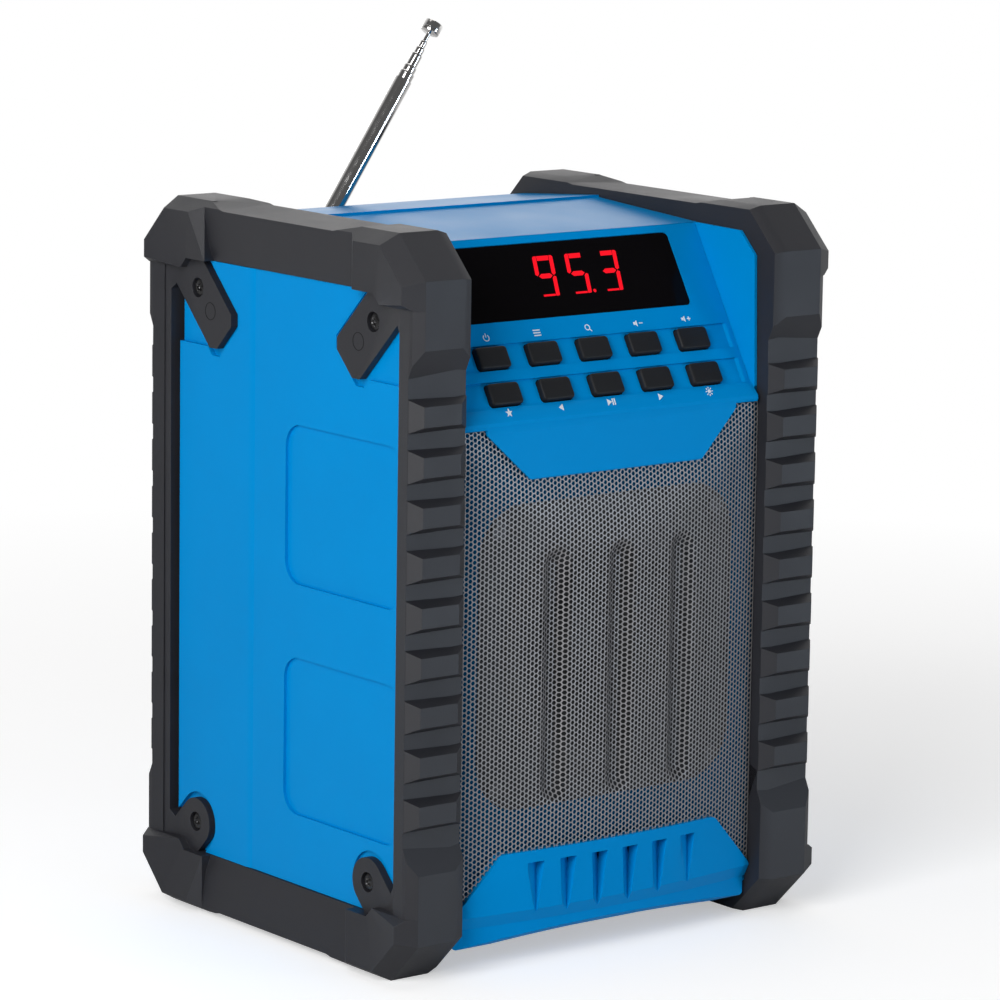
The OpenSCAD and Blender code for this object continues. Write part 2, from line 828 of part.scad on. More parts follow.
module rear_posts() {
    at_housing_screws() rod_y(head_d + 5, seam_y, back_y - 1);
    for (s = [-1, 1], i = [0 : 2]) {
        reach = core_x - wall + eps;
        translate([s * (housing_screw_x + reach) / 2, (seam_y + back_y) / 2, housing_screw_z[i]])
            cube([reach - housing_screw_x, back_y - seam_y - 2, 2], center = true);
    }
    // The middle pair are tied to the wide side walls too
    wide = side_x - wall + eps;
    depth = side_y - wall + eps - seam_y - 1;
    for (s = [-1, 1])
        translate([s * (housing_screw_x + wide) / 2, seam_y + 1 + depth / 2, housing_screw_z[1]])
            cube([wide - housing_screw_x, depth, 2], center = true);
}

module screw_y(head_y, length) {
    rod_y(screw_d, head_y - length, head_y);
    difference() {
        rod_y(head_d, head_y, head_y + head_t + 0.5);
        for (a = [0, 90]) rotate([0, a, 0])
            translate([-1.6, head_y + head_t - 0.4, -0.35]) cube([3.2, 1, 0.7]);
    }
}

module housing_screws() {
    at_housing_screws() screw_y(seam_y + 8, 26);
}

// ---------------------------------------------------------------- control panel

module control_panel() {
    lip_y = lean_y(panel_foot_z) - badge_rise;
    // The plate begins where its back edge clears the grille's top
    start = panel_t * tan(panel_tilt) + 0.1;
    difference() {
        union() {
            on_panel() translate([-panel_x, start, -panel_t])
                cube([2 * panel_x, panel_len - start - 0.1, panel_t]);
            // Rounded nose that turns the slope down to the grille's top edge
            along_x(-panel_x, panel_x) polygon([
                [front_y + 3.4, panel_foot_z + 1.2], [front_y + 1.6, panel_foot_z + 0.05],
                [lip_y, panel_foot_z + 0.05], [lip_y - 0.3, panel_foot_z + 1],
                [lip_y - 0.1, panel_foot_z + 2.2], [front_y + 1.6, panel_foot_z + 4.6],
                [front_y + 3.4, panel_foot_z + 6]
            ]);
            badge();
            on_panel() at_panel_screws() translate([0, 0, -board_n]) cylinder(d = screw_d + 3, h = board_n - 0.5);
        }
        on_panel() at_panel_screws() translate([0, 0, -board_n - 1]) cylinder(d = screw_d + 0.1, h = 5);
        on_panel() {
            for (s = [row_low, row_high]) translate([0, s + band_h / 2 + 0.2, 0]) band();
            translate([0, window_s + window_h / 2, -panel_t - 1])
                linear_extrude(panel_t + 2) rounded_rect(window_w, window_h, 2);
            at_buttons() translate([0, 0, -panel_t - 1]) linear_extrude(panel_t + 2)
                rounded_rect(button_w + 2 * button_gap, button_h + 2 * button_gap, 1.5);
        }
    }
}

// A sunk band across the panel, with sloping ends
module band() {
    half = panel_x - 3;
    end = 1.2;
    rotate([90, 0, 0]) linear_extrude(band_h) polygon([
        [-half, -band_t], [half, -band_t], [half + end, 0], [half + end, 5],
        [-half - end, 5], [-half - end, 0]
    ]);
}

// The plain plate below the controls, just off the grille's leaning face
module badge() {
    top_z = panel_foot_z - 1.6;
    foot_z = top_z - badge_h;
    intersection() {
        along_x(-wall_x, wall_x) polygon([
            [lean_y(foot_z) - fit_gap, foot_z], [lean_y(panel_foot_z + 1) - fit_gap, panel_foot_z + 1],
            [lean_y(top_z) - badge_rise, panel_foot_z + 1], [lean_y(top_z) - badge_rise, top_z],
            [lean_y(foot_z) - badge_rise, foot_z + 0.4], [lean_y(foot_z) + 0.4 - badge_rise, foot_z]
        ]);
        along_y(-half_d, 0) polygon(rounded([
            [-badge_w / 2, top_z + 4], [-badge_w / 2, top_z], [-badge_foot / 2, foot_z],
            [badge_foot / 2, foot_z], [badge_w / 2, top_z], [badge_w / 2, top_z + 4]
        ], 2));
    }
}

module at_buttons() {
    for (s = [row_low, row_high], i = [-2 : 2])
        translate([button_shift + i * button_pitch, s, 0]) children();
}

// Place of a button on the panel: the first five are the upper row
function button_at(i) =
    [button_shift + (i % 5 - 2) * button_pitch, i < 5 ? row_high : row_low, 0];

// A button with a rounded cap, and a lip behind the panel that keeps it in
module button(i) {
    cap_r = 1.2;
    edge = 0.5;
    on_panel() translate(button_at(i)) {
        translate([0, 0, -panel_t - fit_gap])
            linear_extrude(panel_t + fit_gap + button_rise - edge) rounded_rect(button_w, button_h, cap_r);
        translate([0, 0, button_rise - edge - 0.01])
            linear_extrude(edge + 0.01) rounded_rect(button_w - 1, button_h - 1, cap_r - 0.3);
        translate([0, 0, -panel_t - fit_gap - flange_t]) linear_extrude(flange_t)
            rounded_rect(button_w + 2 * flange_lip, button_h + 2 * flange_lip, cap_r);
    }
}

module display_lens() {
    sink = 0.25;
    on_panel() translate([0, window_s + window_h / 2, 0]) {
        translate([0, 0, -panel_t]) linear_extrude(panel_t - sink)
            rounded_rect(window_w - 2 * fit_gap, window_h - 2 * fit_gap, 1.8);
    }
}

module display_module() {
    front_n = panel_t + fit_gap;
    body_t = board_n - front_n;
    digit_w = 22;
    on_panel() translate([0, window_s + window_h / 2, 0]) difference() {
        translate([-window_w / 2 + 6, -window_h / 2 + 4, -board_n])
            cube([window_w - 12, window_h - 8, body_t]);
        // Light wells behind the four digits
        for (i = [-1.5 : 1.5]) translate([i * digit_w, 0, -front_n - 1])
            linear_extrude(2) rounded_rect(digit_w - 6, window_h - 11, 1);
    }
}

board_w = 2 * (core_x - wall - 2);
module at_panel_screws() {
    for (x = [-1, 1], s = [10, panel_len - 10]) translate([x * (board_w / 2 - 4), s, 0]) children();
}

module control_board() {
    on_panel() difference() {
        translate([-board_w / 2, 6, -board_n - board_t]) cube([board_w, panel_len - 12, board_t]);
        at_panel_screws() translate([0, 0, -board_n - board_t - 1])
            cylinder(d = screw_d + 0.3, h = board_t + 2);
    }
}

module tact_switches() {
    body = 6;
    plunger = 1;
    on_panel() at_buttons() translate([0, 0, -board_n]) {
        translate([-body / 2, -body / 2, 0]) cube([body, body, switch_h - plunger]);
        cylinder(d = 3.4, h = switch_h);
    }
}

// ---------------------------------------------------------------- grille and lower trim

// A solid that follows the bow of the front, with radius r, between two heights
module bowed(r, z0, z1) {
    translate([0, bow_y, z0]) cylinder(r = r, h = z1 - z0, $fn = 200);
}

// Depth of the grille's face on its upper part, which leans back towards the panel's foot
function lean_y(z) = front_y + 0.5 - bow + bend * (z - bend_z);

// The space behind the grille's face, or behind a face set back from it
module behind_face(back) {
    intersection() {
        bowed(bow_r - back, trim_foot, panel_foot_z + 3);
        along_x(-wall_x, wall_x) polygon([
            [lean_y(0) + back, 0], [lean_y(frame_h) + back, frame_h],
            [baffle_y + 12, frame_h], [baffle_y + 12, 0]
        ]);
    }
}

// A pressed channel with sloping walls and round ends, seen from the front
module channel(w, depth, y0) {
    mouth = 3;
    mouth_w = w + 2 * channel_slope * mouth / channel_t;
    low_w = w - 2 * channel_slope * depth / channel_t;
    straight = channel_len - channel_w;
    translate([0, y0, channel_mid]) {
        linear_extrude(straight, center = true) polygon([
            [-mouth_w / 2, -mouth], [mouth_w / 2, -mouth], [low_w / 2, depth], [-low_w / 2, depth]
        ]);
        for (s = [-1, 1]) translate([0, -mouth, s * straight / 2]) rotate([-90, 0, 0])
            cylinder(d1 = mouth_w, d2 = low_w, h = depth + mouth);
    }
}

function bow_at(x) = bow_y - sqrt(bow_r * bow_r - x * x);

// The pressed channels, or with grow their outside behind the sheet
module channels(grow) {
    for (i = [-1 : 1]) {
        x = channel_shift + i * channel_pitch;
        translate([x, 0, 0]) channel(channel_w + 2 * grow, channel_t + grow, bow_at(x));
    }
}

module grille_outline() {
    lift = 2 * fit_gap;
    polygon([
        [-grille_x, trim_slant_z + lift], [-trim_top_half, trim_top + lift],
        [trim_top_half, trim_top + lift], [grille_x, trim_slant_z + lift],
        [grille_x, grille_top_z], [-grille_x, grille_top_z]
    ]);
}

module grille_holes() {
    row = hole_pitch * sqrt(3) / 2;
    columns = floor((grille_x - 3) / row);
    rows = ceil(grille_top_z / hole_pitch);
    for (c = [-columns : columns], r = [0 : rows]) {
        x = c * row;
        z = (r + (abs(c) % 2) / 2) * hole_pitch;
        low = trim_top + hole_d / 2 + 1;
        high = (abs(x) > badge_w / 2 ? grille_top_z : panel_foot_z - badge_h) - hole_d / 2 - 2;
        if (z > low && z < high) translate([x, 0, z]) rod_y(hole_d, -half_d, baffle_y + 3);
    }
}

module speaker_grille() {
    difference() {
        union() {
            intersection() {
                difference() {
                    behind_face(0);
                    behind_face(grille_t);
                }
                along_y(-half_d, baffle_y + 3) grille_outline();
            }
            intersection() {
                behind_face(0);
                channels(grille_t);
            }
        }
        channels(0);
        grille_holes();
    }
}

module lower_trim() {
    foot_half = core_x - fit_gap;
    r = bow_r + trim_rise;
    chamfer_h = 4.4;
    chamfer_in = 2.2;
    difference() {
        intersection() {
            difference() {
                // The bowed face, with a chamfer along its lower edge
                translate([0, bow_y, 0]) rotate_extrude($fn = 200) polygon([
                    [0, belly_z + 1], [r - chamfer_in, belly_z + 1], [r - chamfer_in, trim_foot],
                    [r, trim_foot + chamfer_h], [r, trim_top + 1], [0, trim_top + 1]
                ]);
                bowed(bow_r - 3.2, belly_z, trim_top + 2);
            }
            along_y(-half_d, baffle_y - fit_gap) polygon(rounded([
                [-foot_half, belly_z + 1.5], [foot_half, belly_z + 1.5], [foot_half, trim_slant_z],
                [trim_top_half, trim_top], [-trim_top_half, trim_top], [-foot_half, trim_slant_z]
            ], 3));
            // Underside that slopes back from the bottom edge
            along_x(-core_x, core_x) polygon([
                [-half_d, trim_foot], [baffle_y - fit_gap, belly_z + 1.5],
                [baffle_y - fit_gap, trim_top], [-half_d, trim_top]
            ]);
        }
        for (i = [0 : vent_count - 1])
            translate([(i - (vent_count - 1) / 2) * vent_pitch, 0, 0]) vent();
    }
}

// A leaning wedge: its floor slopes from flush at the left to deepest at the upper right
module vent() {
    w = 6.9;
    deep = 3.4;
    lean = 3.3;
    foot_w = 2.4;
    top_z = trim_top - 4;
    h = top_z - trim_foot;
    intersection() {
        along_y(-half_d - 1, -half_d + 12) polygon([
            [-w / 2, top_z], [w / 2, top_z], [w / 2 - lean, top_z - h], [w / 2 - lean - foot_w, top_z - h]
        ]);
        translate([-w / 2, bow_at(0) - trim_rise - 0.6, top_z - h])
            rotate([-atan(deep / h) / 1.5, 0, atan(deep / w)])
                translate([-h, -h, -h]) cube([3 * h, h, 3 * h]);
    }
}

// ---------------------------------------------------------------- speaker

module at_speaker_screws() {
    for (x = [-1, 1], z = [-1, 1])
        translate([x * (flange_w / 2 - 8), 0, z * (flange_h / 2 - 8)]) children();
}

module speaker_basket() {
    mid_r = magnet_d / 2 - 3;
    depth = speaker_t - magnet_t;
    neck_d = 28;
    gap_w = 16;
    gap_in = 20;
    translate([0, 0, speaker_z]) difference() {
        union() {
            along_y(baffle_y, basket_y)
                rounded_rect(flange_w, flange_h, flange_r);
            translate([0, basket_y, 0]) rotate([-90, 0, 0]) {
                difference() {
                    cylinder(r1 = cone_d / 2 + 0.6, r2 = mid_r, h = depth);
                    translate([0, 0, -0.01])
                        cylinder(r1 = cone_d / 2 - 1, r2 = mid_r - 1.6, h = depth - 1.5);
                }
            }
        }
        rod_y(cone_d - 2, baffle_y - 1, basket_y + 0.01);
        rod_y(neck_d, baffle_y, magnet_y + 1);
        at_speaker_screws() rod_y(screw_d + 0.4, baffle_y - 1, basket_y + 1);
        // Windows in the basket's wall
        for (a = [0 : 60 : 300]) rotate([0, a, 0])
            translate([-gap_w / 2, basket_y + 6, gap_in]) cube([gap_w, depth - 12, cone_d / 2]);
    }
}

// Cone with its rolled surround, voice coil tube and dust cap
module speaker_cone() {
    rim = cone_d / 2 - 1.2;
    roll = 4.5;
    inner = 15;
    deep = 17;
    t = 0.8;
    translate([0, baffle_y + 0.3, speaker_z]) rotate([-90, 0, 0]) rotate_extrude()
        polygon(concat(
            [[0, deep - 5], [2, deep - 5], [6, deep - 4.4], [11, deep - 2.4], [inner, deep]],
            [for (k = [0 : 6]) [rim - roll - 1 - roll * cos(30 * k), 0.2 - 1.2 * sin(30 * k)]],
            [[rim, 0.2], [rim, 0.2 + t], [rim - 2 * roll - 1, 0.6 + t], [inner - 0.5, deep + t + 0.6]],
            [[11, deep - 1.4], [6, deep - 3.4], [2, deep - 4], [0, deep - 4]]
        ));
}

module speaker_magnet() {
    translate([0, 0, speaker_z]) difference() {
        union() {
            rod_y(magnet_d, magnet_y + 2, magnet_y + magnet_t - 3);
            rod_y(magnet_d - 6, magnet_y, magnet_y + 2);
            rod_y(magnet_d - 4, magnet_y + magnet_t - 3, magnet_y + magnet_t);
        }
        rod_y(10, magnet_y - 1, magnet_y + magnet_t + 1);
    }
}

module speaker_screws() {
    translate([0, 0, speaker_z]) at_speaker_screws() {
        rod_y(screw_d, baffle_y, baffle_y + 8);
        rod_y(head_d, baffle_y - 0.9, baffle_y);
    }
}

// ---------------------------------------------------------------- electronics and power

board_y = back_y - wall - bay_t - 8;
main_w = 96;
main_z0 = 34;
main_z1 = 128;
module at_board_screws() {
    for (x = [-1, 1], z = [main_z0 + 6, main_z1 - 6]) translate([x * (main_w / 2 - 6), 0, z]) children();
}

module board_posts() {
    at_board_screws() rod_y(screw_d + 4, board_y + board_t + fit_gap / 2, back_y - 1);
}

module main_board() {
    difference() {
        translate([-main_w / 2, board_y, main_z0]) cube([main_w, board_t, main_z1 - main_z0]);
        at_board_screws() rod_y(screw_d + 0.3, board_y - 1, board_y + board_t + 1);
    }
}

module board_screws() {
    on_panel() at_panel_screws() {
        translate([0, 0, -board_n - board_t - 2]) cylinder(d = head_d, h = 2);
        translate([0, 0, -board_n - board_t]) cylinder(d = screw_d, h = board_t + 3);
    }
    at_board_screws() {
        rod_y(head_d, board_y - 2, board_y);
        rod_y(screw_d, board_y, board_y + board_t + 6);
    }
}

// Sockets behind the port cover: power, sound input and a charging slot
socket_z = bay_z - 2;
module port_sockets() {
    y0 = board_y + board_t;
    y1 = back_y - bay_t + 1.2;
    translate([0, 0, socket_z]) {
        translate([-18, 0, 0]) difference() {
            rod_y(9, y0, y1);
            rod_y(5.6, y0 + 3, y1 + 1);
        }
        difference() {
            rod_y(7, y0, y1);
            rod_y(3.6, y0 + 2, y1 + 1);
        }
        difference() {
            along_y(y0, y1) translate([18, 0]) rounded_rect(14, 7, 1);
            along_y(y0 + 2, y1 + 1) translate([18, 0]) rounded_rect(12.4, 4.8, 0.4);
        }
    }
}

battery_d = 2 * cell_d + 8;
battery_z = belly_z + wall + 3 + cell_d / 2;
tray_w = cell_len + 8;
tray_y = seam_y - battery_d / 2 - 5;
cell_y = cell_d / 2 + 0.7;
module battery_cells() {
    for (s = [-1, 1])
        translate([0, tray_y + s * cell_y, battery_z]) rod_x(cell_d, -cell_len / 2, cell_len / 2);
}

module battery_tray() {
    half = cell_len / 2 + fit_gap;
    difference() {
        translate([-tray_w / 2, tray_y - battery_d / 2, belly_z + wall])
            cube([tray_w, battery_d, cell_d * 0.75 + 3]);
        for (s = [-1, 1]) translate([0, tray_y + s * cell_y, battery_z])
            rod_x(cell_d + 2 * fit_gap, -half, half);
        translate([-half, tray_y - cell_d, battery_z]) cube([2 * half, 2 * cell_d, cell_d]);
    }
}

// ---------------------------------------------------------------- rear ports

cover_gap = 0.3;
hinge_y = back_y - 1.9;
hinge_z = bay_z + bay_h / 2 - 2.6;
barrel_r = 1.7;

// Walls of the port bay inside the shell
module bay_shell() {
    along_y(back_y - bay_t - 2, back_y - 1) translate([0, bay_z]) square([bay_w + 5, bay_h + 4], center = true);
}

module bay_cut() {
    along_y(back_y - bay_t, back_y + 1) translate([0, bay_z]) square([bay_w, bay_h], center = true);
    translate([0, 0, socket_z]) {
        translate([-18, 0, 0]) rod_y(9 + 2 * fit_gap, back_y - bay_t - 3, back_y);
        rod_y(7 + 2 * fit_gap, back_y - bay_t - 3, back_y);
        along_y(back_y - bay_t - 3, back_y) translate([18, 0]) square([14.4, 7.4], center = true);
    }
    translate([0, hinge_y, hinge_z])
        rod_x(cover_pin_d + 0.1, -bay_w / 2 - 2, bay_w / 2 + 2);
}

// Rubber flap with its hinge barrel along the top and a finger lip at the foot
module port_cover() {
    w = bay_w - 2 * cover_gap;
    foot_z = bay_z - bay_h / 2 + cover_gap;
    difference() {
        union() {
            translate([-w / 2, back_y - cover_t, foot_z]) cube([w, cover_t, hinge_z - foot_z]);
            translate([0, hinge_y, hinge_z]) rod_x(2 * barrel_r, -w / 2, w / 2);
            translate([-7, back_y - 1, foot_z]) cube([14, 2.4, 2]);
        }
        translate([0, hinge_y, hinge_z]) rod_x(cover_pin_d + 0.1, -w, w);
    }
}

module port_cover_pin() {
    translate([0, hinge_y, hinge_z]) rod_x(cover_pin_d, -bay_w / 2 - 1.6, bay_w / 2 + 1.6);
}

// ---------------------------------------------------------------- antenna

// Puts its children at the antenna's pivot: Z along the antenna, Y to the back, X along its hinge pin
module at_antenna() {
    translate([-antenna_x, antenna_y, antenna_z]) rotate([0, antenna_lean, 0]) children();
}

seat_y = back_y - elbow_seat - antenna_y;
module antenna_boss() {
    at_antenna() rod_y(elbow_d + 6, seat_y - elbow_t - 4, back_y - 1 - antenna_y);
}

module antenna_cut() {
    at_antenna() {
        rod_y(elbow_d + 0.6, seat_y - elbow_t, 5);
        rod_y(stud_d + 2 * stud_gap, seat_y - elbow_t - 6, 0);
    }
}

// Swivel disc with its stud and the two ears that hold the hinge pin
module antenna_elbow() {
    stud_len = 4.4;
    at_antenna() difference() {
        union() {
            rod_y(elbow_d, seat_y - elbow_t + 0.1, seat_y);
            rod_y(stud_d, seat_y - elbow_t - stud_len, seat_y - elbow_t + 0.2);
            intersection() {
                union() {
                    rod_x(2 * ear_r, -ear_t - tongue_t / 2 - 0.1, ear_t + tongue_t / 2 + 0.1);
                    translate([-ear_t - tongue_t / 2 - 0.1, seat_y - 0.5, -ear_r])
                        cube([2 * ear_t + tongue_t + 0.2, 0.5 - seat_y, 2 * ear_r]);
                }
                rod_y(elbow_d, seat_y - 1, half_d);
            }
        }
        translate([-tongue_t / 2 - 0.1, seat_y, -ear_r - 1])
            cube([tongue_t + 0.2, 20, 2 * ear_r + 2]);
        rod_x(hinge_pin_d + 2 * stud_gap, -10, 10);
    }
}

module antenna_nut() {
    at_antenna() difference() {
        rod_y(8, seat_y - elbow_t - 6.2, seat_y - elbow_t - 4.1);
        rod_y(stud_d + 0.1, seat_y - elbow_t - 5, seat_y);
    }
}

module antenna_pin() {
    half = ear_t + tongue_t / 2;
    at_antenna() rod_x(hinge_pin_d, -half, half);
}

function section_d(i) = tube_d - (i - 1) * tube_step;
function section_end(i) = tube_len + (i > 1 ? section_outs[i - 2] : 0);
function section_start(i) = section_in + (i - 2) * section_stagger;

// Widest tube, with the tongue that turns on the hinge pin
module antenna_tube() {
    bore_d = tube_d - 2 * tube_wall;
    plug = 12;
    at_antenna() difference() {
        union() {
            translate([0, 0, tongue_end]) cylinder(d = tube_d, h = tube_len - tongue_end);
            intersection() {
                union() {
                    rod_x(2 * (ear_r - 0.3), -tongue_t / 2, tongue_t / 2);
                    translate([-tongue_t / 2, 0.3 - ear_r, 0])
                        cube([tongue_t, 2 * ear_r - 0.6, tongue_end + 1]);
                }
                rotate([0, 0, 0]) translate([-tongue_t, -ear_r, -ear_r])
                    cube([2 * tongue_t, 2 * ear_r, 20]);
            }
        }
        translate([0, 0, plug]) cylinder(d = bore_d, h = tube_len);
        rod_x(hinge_pin_d + 2 * stud_gap, -10, 10);
    }
}

// A sliding section, closed by a small foot at its inner end
module antenna_section(i) {
    d = section_d(i);
    z0 = section_start(i);
    at_antenna() difference() {
        translate([0, 0, z0]) cylinder(d = d, h = section_end(i) - z0);
        translate([0, 0, z0 + 1]) cylinder(d = d - 2 * tube_wall, h = tube_len);
    }
}

// The solid rod at the end, with its knob
module antenna_tip() {
    d = section_d(7);
    z0 = section_start(7);
    z1 = section_end(7);
    r = knob_d / 2;
    at_antenna() {
        translate([0, 0, z0]) cylinder(d = d, h = z1 - z0 + 1);
        translate([0, 0, z1]) rotate_extrude() polygon([
            [0, 0], [r - knob_gap, 0], [r, knob_gap], [r, knob_len - knob_gap],
            [r - knob_gap, knob_len], [0, knob_len]
        ]);
    }
}

// ---------------------------------------------------------------- the nodes

color(blue) front_housing();
color(blue) rear_housing();
color(blue) control_panel();
color(blue) lower_trim();
color(steel) speaker_grille();
color(rubber) mirror([1, 0, 0]) side_frame();  // side_frame_left
color(rubber) side_frame();  // side_frame_right
color(steel) mirror([1, 0, 0]) frame_screws();  // frame_screws_left
color(steel) frame_screws();  // frame_screws_right
color([0.05, 0.05, 0.06]) display_lens();
color([0.3, 0.08, 0.08]) display_module();
color([0.1, 0.35, 0.2]) control_board();
color([0.3, 0.3, 0.3]) tact_switches();
for (i = [0 : 9])
    color([0.12, 0.12, 0.13]) button(i);
color([0.15, 0.15, 0.15]) speaker_basket();
color([0.25, 0.25, 0.25]) speaker_cone();
color([0.4, 0.4, 0.42]) speaker_magnet();
color(steel) speaker_screws();
color([0.1, 0.35, 0.2]) main_board();
color([0.2, 0.2, 0.2]) port_sockets();
color(steel) board_screws();
color([0.2, 0.5, 0.3]) battery_cells();
color([0.2, 0.2, 0.2]) battery_tray();
color(steel) housing_screws();
color(rubber) port_cover();
color(steel) port_cover_pin();
color(chrome) antenna_elbow();
color(steel) antenna_nut();
color(steel) antenna_pin();
color(chrome) antenna_tube();
for (i = [2 : 6])
    color(chrome) antenna_section(i);
color(chrome) antenna_tip();
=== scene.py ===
"""Looks of the jobsite radio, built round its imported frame.

The shape code works in millimetres. Lamps, camera, floor and nodes are in metres.
"""

import math
from contextlib import contextmanager

import bmesh
import bpy
from mathutils import Matrix, Vector


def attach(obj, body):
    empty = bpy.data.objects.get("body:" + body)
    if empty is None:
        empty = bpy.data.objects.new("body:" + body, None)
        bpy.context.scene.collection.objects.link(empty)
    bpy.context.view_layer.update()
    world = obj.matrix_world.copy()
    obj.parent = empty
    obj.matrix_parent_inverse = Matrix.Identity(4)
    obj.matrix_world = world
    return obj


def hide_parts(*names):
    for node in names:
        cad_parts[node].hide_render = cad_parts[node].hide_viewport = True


MM = 0.001
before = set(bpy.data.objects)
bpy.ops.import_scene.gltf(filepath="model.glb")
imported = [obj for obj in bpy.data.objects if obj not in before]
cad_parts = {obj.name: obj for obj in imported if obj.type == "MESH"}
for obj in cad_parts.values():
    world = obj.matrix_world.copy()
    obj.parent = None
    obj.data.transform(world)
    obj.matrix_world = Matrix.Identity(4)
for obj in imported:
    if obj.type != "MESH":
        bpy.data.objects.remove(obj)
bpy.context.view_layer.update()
scene = bpy.context.scene
scene.view_settings.view_transform = "Standard"

# ------------------------------------------------------------------ camera

CAMERA_PLACE = Vector((-0.97570, -1.24700, 0.42659))
CAMERA_FORWARD = Vector((0.60971, 0.77299, -0.17532))
CAMERA_UP = Vector((0.09623, 0.14736, 0.98439))
SENSOR_WIDTH = 36.0
FOCAL_LENGTH = 165.94


def make_camera():
    forward = CAMERA_FORWARD.normalized()
    right = forward.cross(CAMERA_UP).normalized()
    up = right.cross(forward)
    data = bpy.data.cameras.new("camera")
    data.sensor_width = SENSOR_WIDTH
    data.lens = FOCAL_LENGTH
    data.clip_start, data.clip_end = 0.05, 50.0
    camera = bpy.data.objects.new("camera", data)
    rotation = Matrix((right, up, -forward)).transposed().to_4x4()
    camera.matrix_world = Matrix.Translation(CAMERA_PLACE) @ rotation
    scene.collection.objects.link(camera)
    scene.camera = camera


# ------------------------------------------------------------------ nodes


class Nodes:
    """A node tree with short calls for the nodes used here."""

    def __init__(self, tree):
        self.tree = tree

    def node(self, kind, **settings):
        made = self.tree.nodes.new(kind)
        for key, value in settings.items():
            setattr(made, key, value)
        return made

    def link(self, a, b):
        self.tree.links.new(a, b)

    def math(self, operation, a, b):
        """a is an output, and b an output or a number."""
        made = self.node("ShaderNodeMath", operation=operation)
        self.link(a, made.inputs[0])
        if isinstance(b, float):
            made.inputs[1].default_value = b
        else:
            self.link(b, made.inputs[1])
        return made.outputs[0]

    def dot(self, vector, direction):
        made = self.node("ShaderNodeVectorMath", operation="DOT_PRODUCT")
        self.link(vector, made.inputs[0])
        made.inputs[1].default_value = direction
        return made.outputs["Value"]

    def ramp(self, fac, low, high, a, b):
        """Maps fac from low..high to the values a..b."""
        made = self.node("ShaderNodeMapRange")
        self.link(fac, made.inputs["Value"])
        for key, value in (("From Min", low), ("From Max", high), ("To Min", a), ("To Max", b)):
            made.inputs[key].default_value = value
        return made.outputs["Result"]

    def sees_background(self, behind):
        """1 for rays from the camera or through glass, and behind for those off metal and gloss."""
        rays = self.node("ShaderNodeLightPath").outputs
        through = self.math("MAXIMUM", rays["Is Camera Ray"], rays["Is Transmission Ray"])
        return self.math("MAXIMUM", through, self.math("MULTIPLY", rays["Is Glossy Ray"], behind))


class Mat(Nodes):
    """A material with its shader's own values, and nodes for what varies over the surface."""

    def __init__(self, name, color, rough, metal=0.0):
        self.mat = bpy.data.materials.new(name)
        self.mat.use_nodes = True
        self.mat.diffuse_color = (*color, 1.0)
        super().__init__(self.mat.node_tree)
        self.bsdf = next(n for n in self.tree.nodes if n.type == "BSDF_PRINCIPLED")
        self.set("Base Color", (*color, 1.0))
        self.set("Roughness", rough)
        self.set("Metallic", metal)
        self.coords = self.node("ShaderNodeTexCoord").outputs["Object"]

    def set(self, key, value):
        self.bsdf.inputs[key].default_value = value

    def noise(self, scale, detail=3.0, rough=0.5, stretch=None):
        """Noise whose scale is given in repeats per metre."""
        made = self.node("ShaderNodeTexNoise")
        made.inputs["Scale"].default_value = scale
        made.inputs["Detail"].default_value = detail
        made.inputs["Roughness"].default_value = rough
        source = self.coords
        if stretch:
            mapping = self.node("ShaderNodeMapping")
            mapping.inputs["Scale"].default_value = stretch
            self.link(source, mapping.inputs["Vector"])
            source = mapping.outputs["Vector"]
        self.link(source, made.inputs["Vector"])
        return made.outputs["Fac"]

    def vary_color(self, fac, a, b):
        made = self.node("ShaderNodeMix", data_type="RGBA")
        self.link(fac, made.inputs["Factor"])
        for key, color in (("A", a), ("B", b)):
            socket = next(s for s in made.inputs if s.name == key and s.type == "RGBA")
            socket.default_value = (*color, 1.0)
        mixed = next(s for s in made.outputs if s.type == "RGBA")
        self.link(mixed, self.bsdf.inputs["Base Color"])

    def vary_rough(self, fac, low, high, a, b):
        self.link(self.ramp(fac, low, high, a, b), self.bsdf.inputs["Roughness"])

    def bump(self, height, strength, distance):
        made = self.node("ShaderNodeBump")
        made.inputs["Strength"].default_value = strength
        made.inputs["Distance"].default_value = distance
        self.link(height, made.inputs["Height"])
        self.link(made.outputs["Normal"], self.bsdf.inputs["Normal"])


# ------------------------------------------------------------------ materials


# shade_factor scales the blue down. Below 1 it makes a darker copy of the blue, which is used as
# painted shade
def blue_plastic(name="blue_plastic", shade_factor=1.0):
    low = (0.0, 0.22 * shade_factor, 0.555 * shade_factor)
    high = (0.0, 0.246 * shade_factor, 0.61 * shade_factor)
    m = Mat(name, high, 0.36)
    m.set("Specular IOR Level", 0.08)
    m.set("Specular Tint", (0.0, 0.5, 1.0, 1.0))
    patch = m.noise(28.0)
    m.vary_color(patch, low, high)
    m.vary_rough(patch, 0.3, 0.7, 0.30, 0.38)
    m.bump(m.noise(5200.0, 2.0), 0.12, 0.06 * MM)
    return m.mat


def frame_rubber():
    m = Mat("frame_rubber", (0.017, 0.0175, 0.022), 0.52)
    m.set("Specular IOR Level", 0.5)
    patch = m.noise(34.0, 4.0, 0.6)
    m.vary_color(patch, (0.0105, 0.011, 0.0145), (0.0175, 0.018, 0.023))
    m.vary_rough(patch, 0.3, 0.7, 0.47, 0.57)
    m.bump(m.noise(2600.0, 4.0, 0.62), 0.42, 0.16 * MM)
    return m.mat


def grille_paint():
    m = Mat("grille_paint", (0.26, 0.256, 0.264), 0.42, 0.25)
    m.vary_color(m.noise(420.0), (0.23, 0.226, 0.233), (0.29, 0.286, 0.294))
    m.bump(m.noise(4200.0, 2.0), 0.15, 0.04 * MM)
    return m.mat


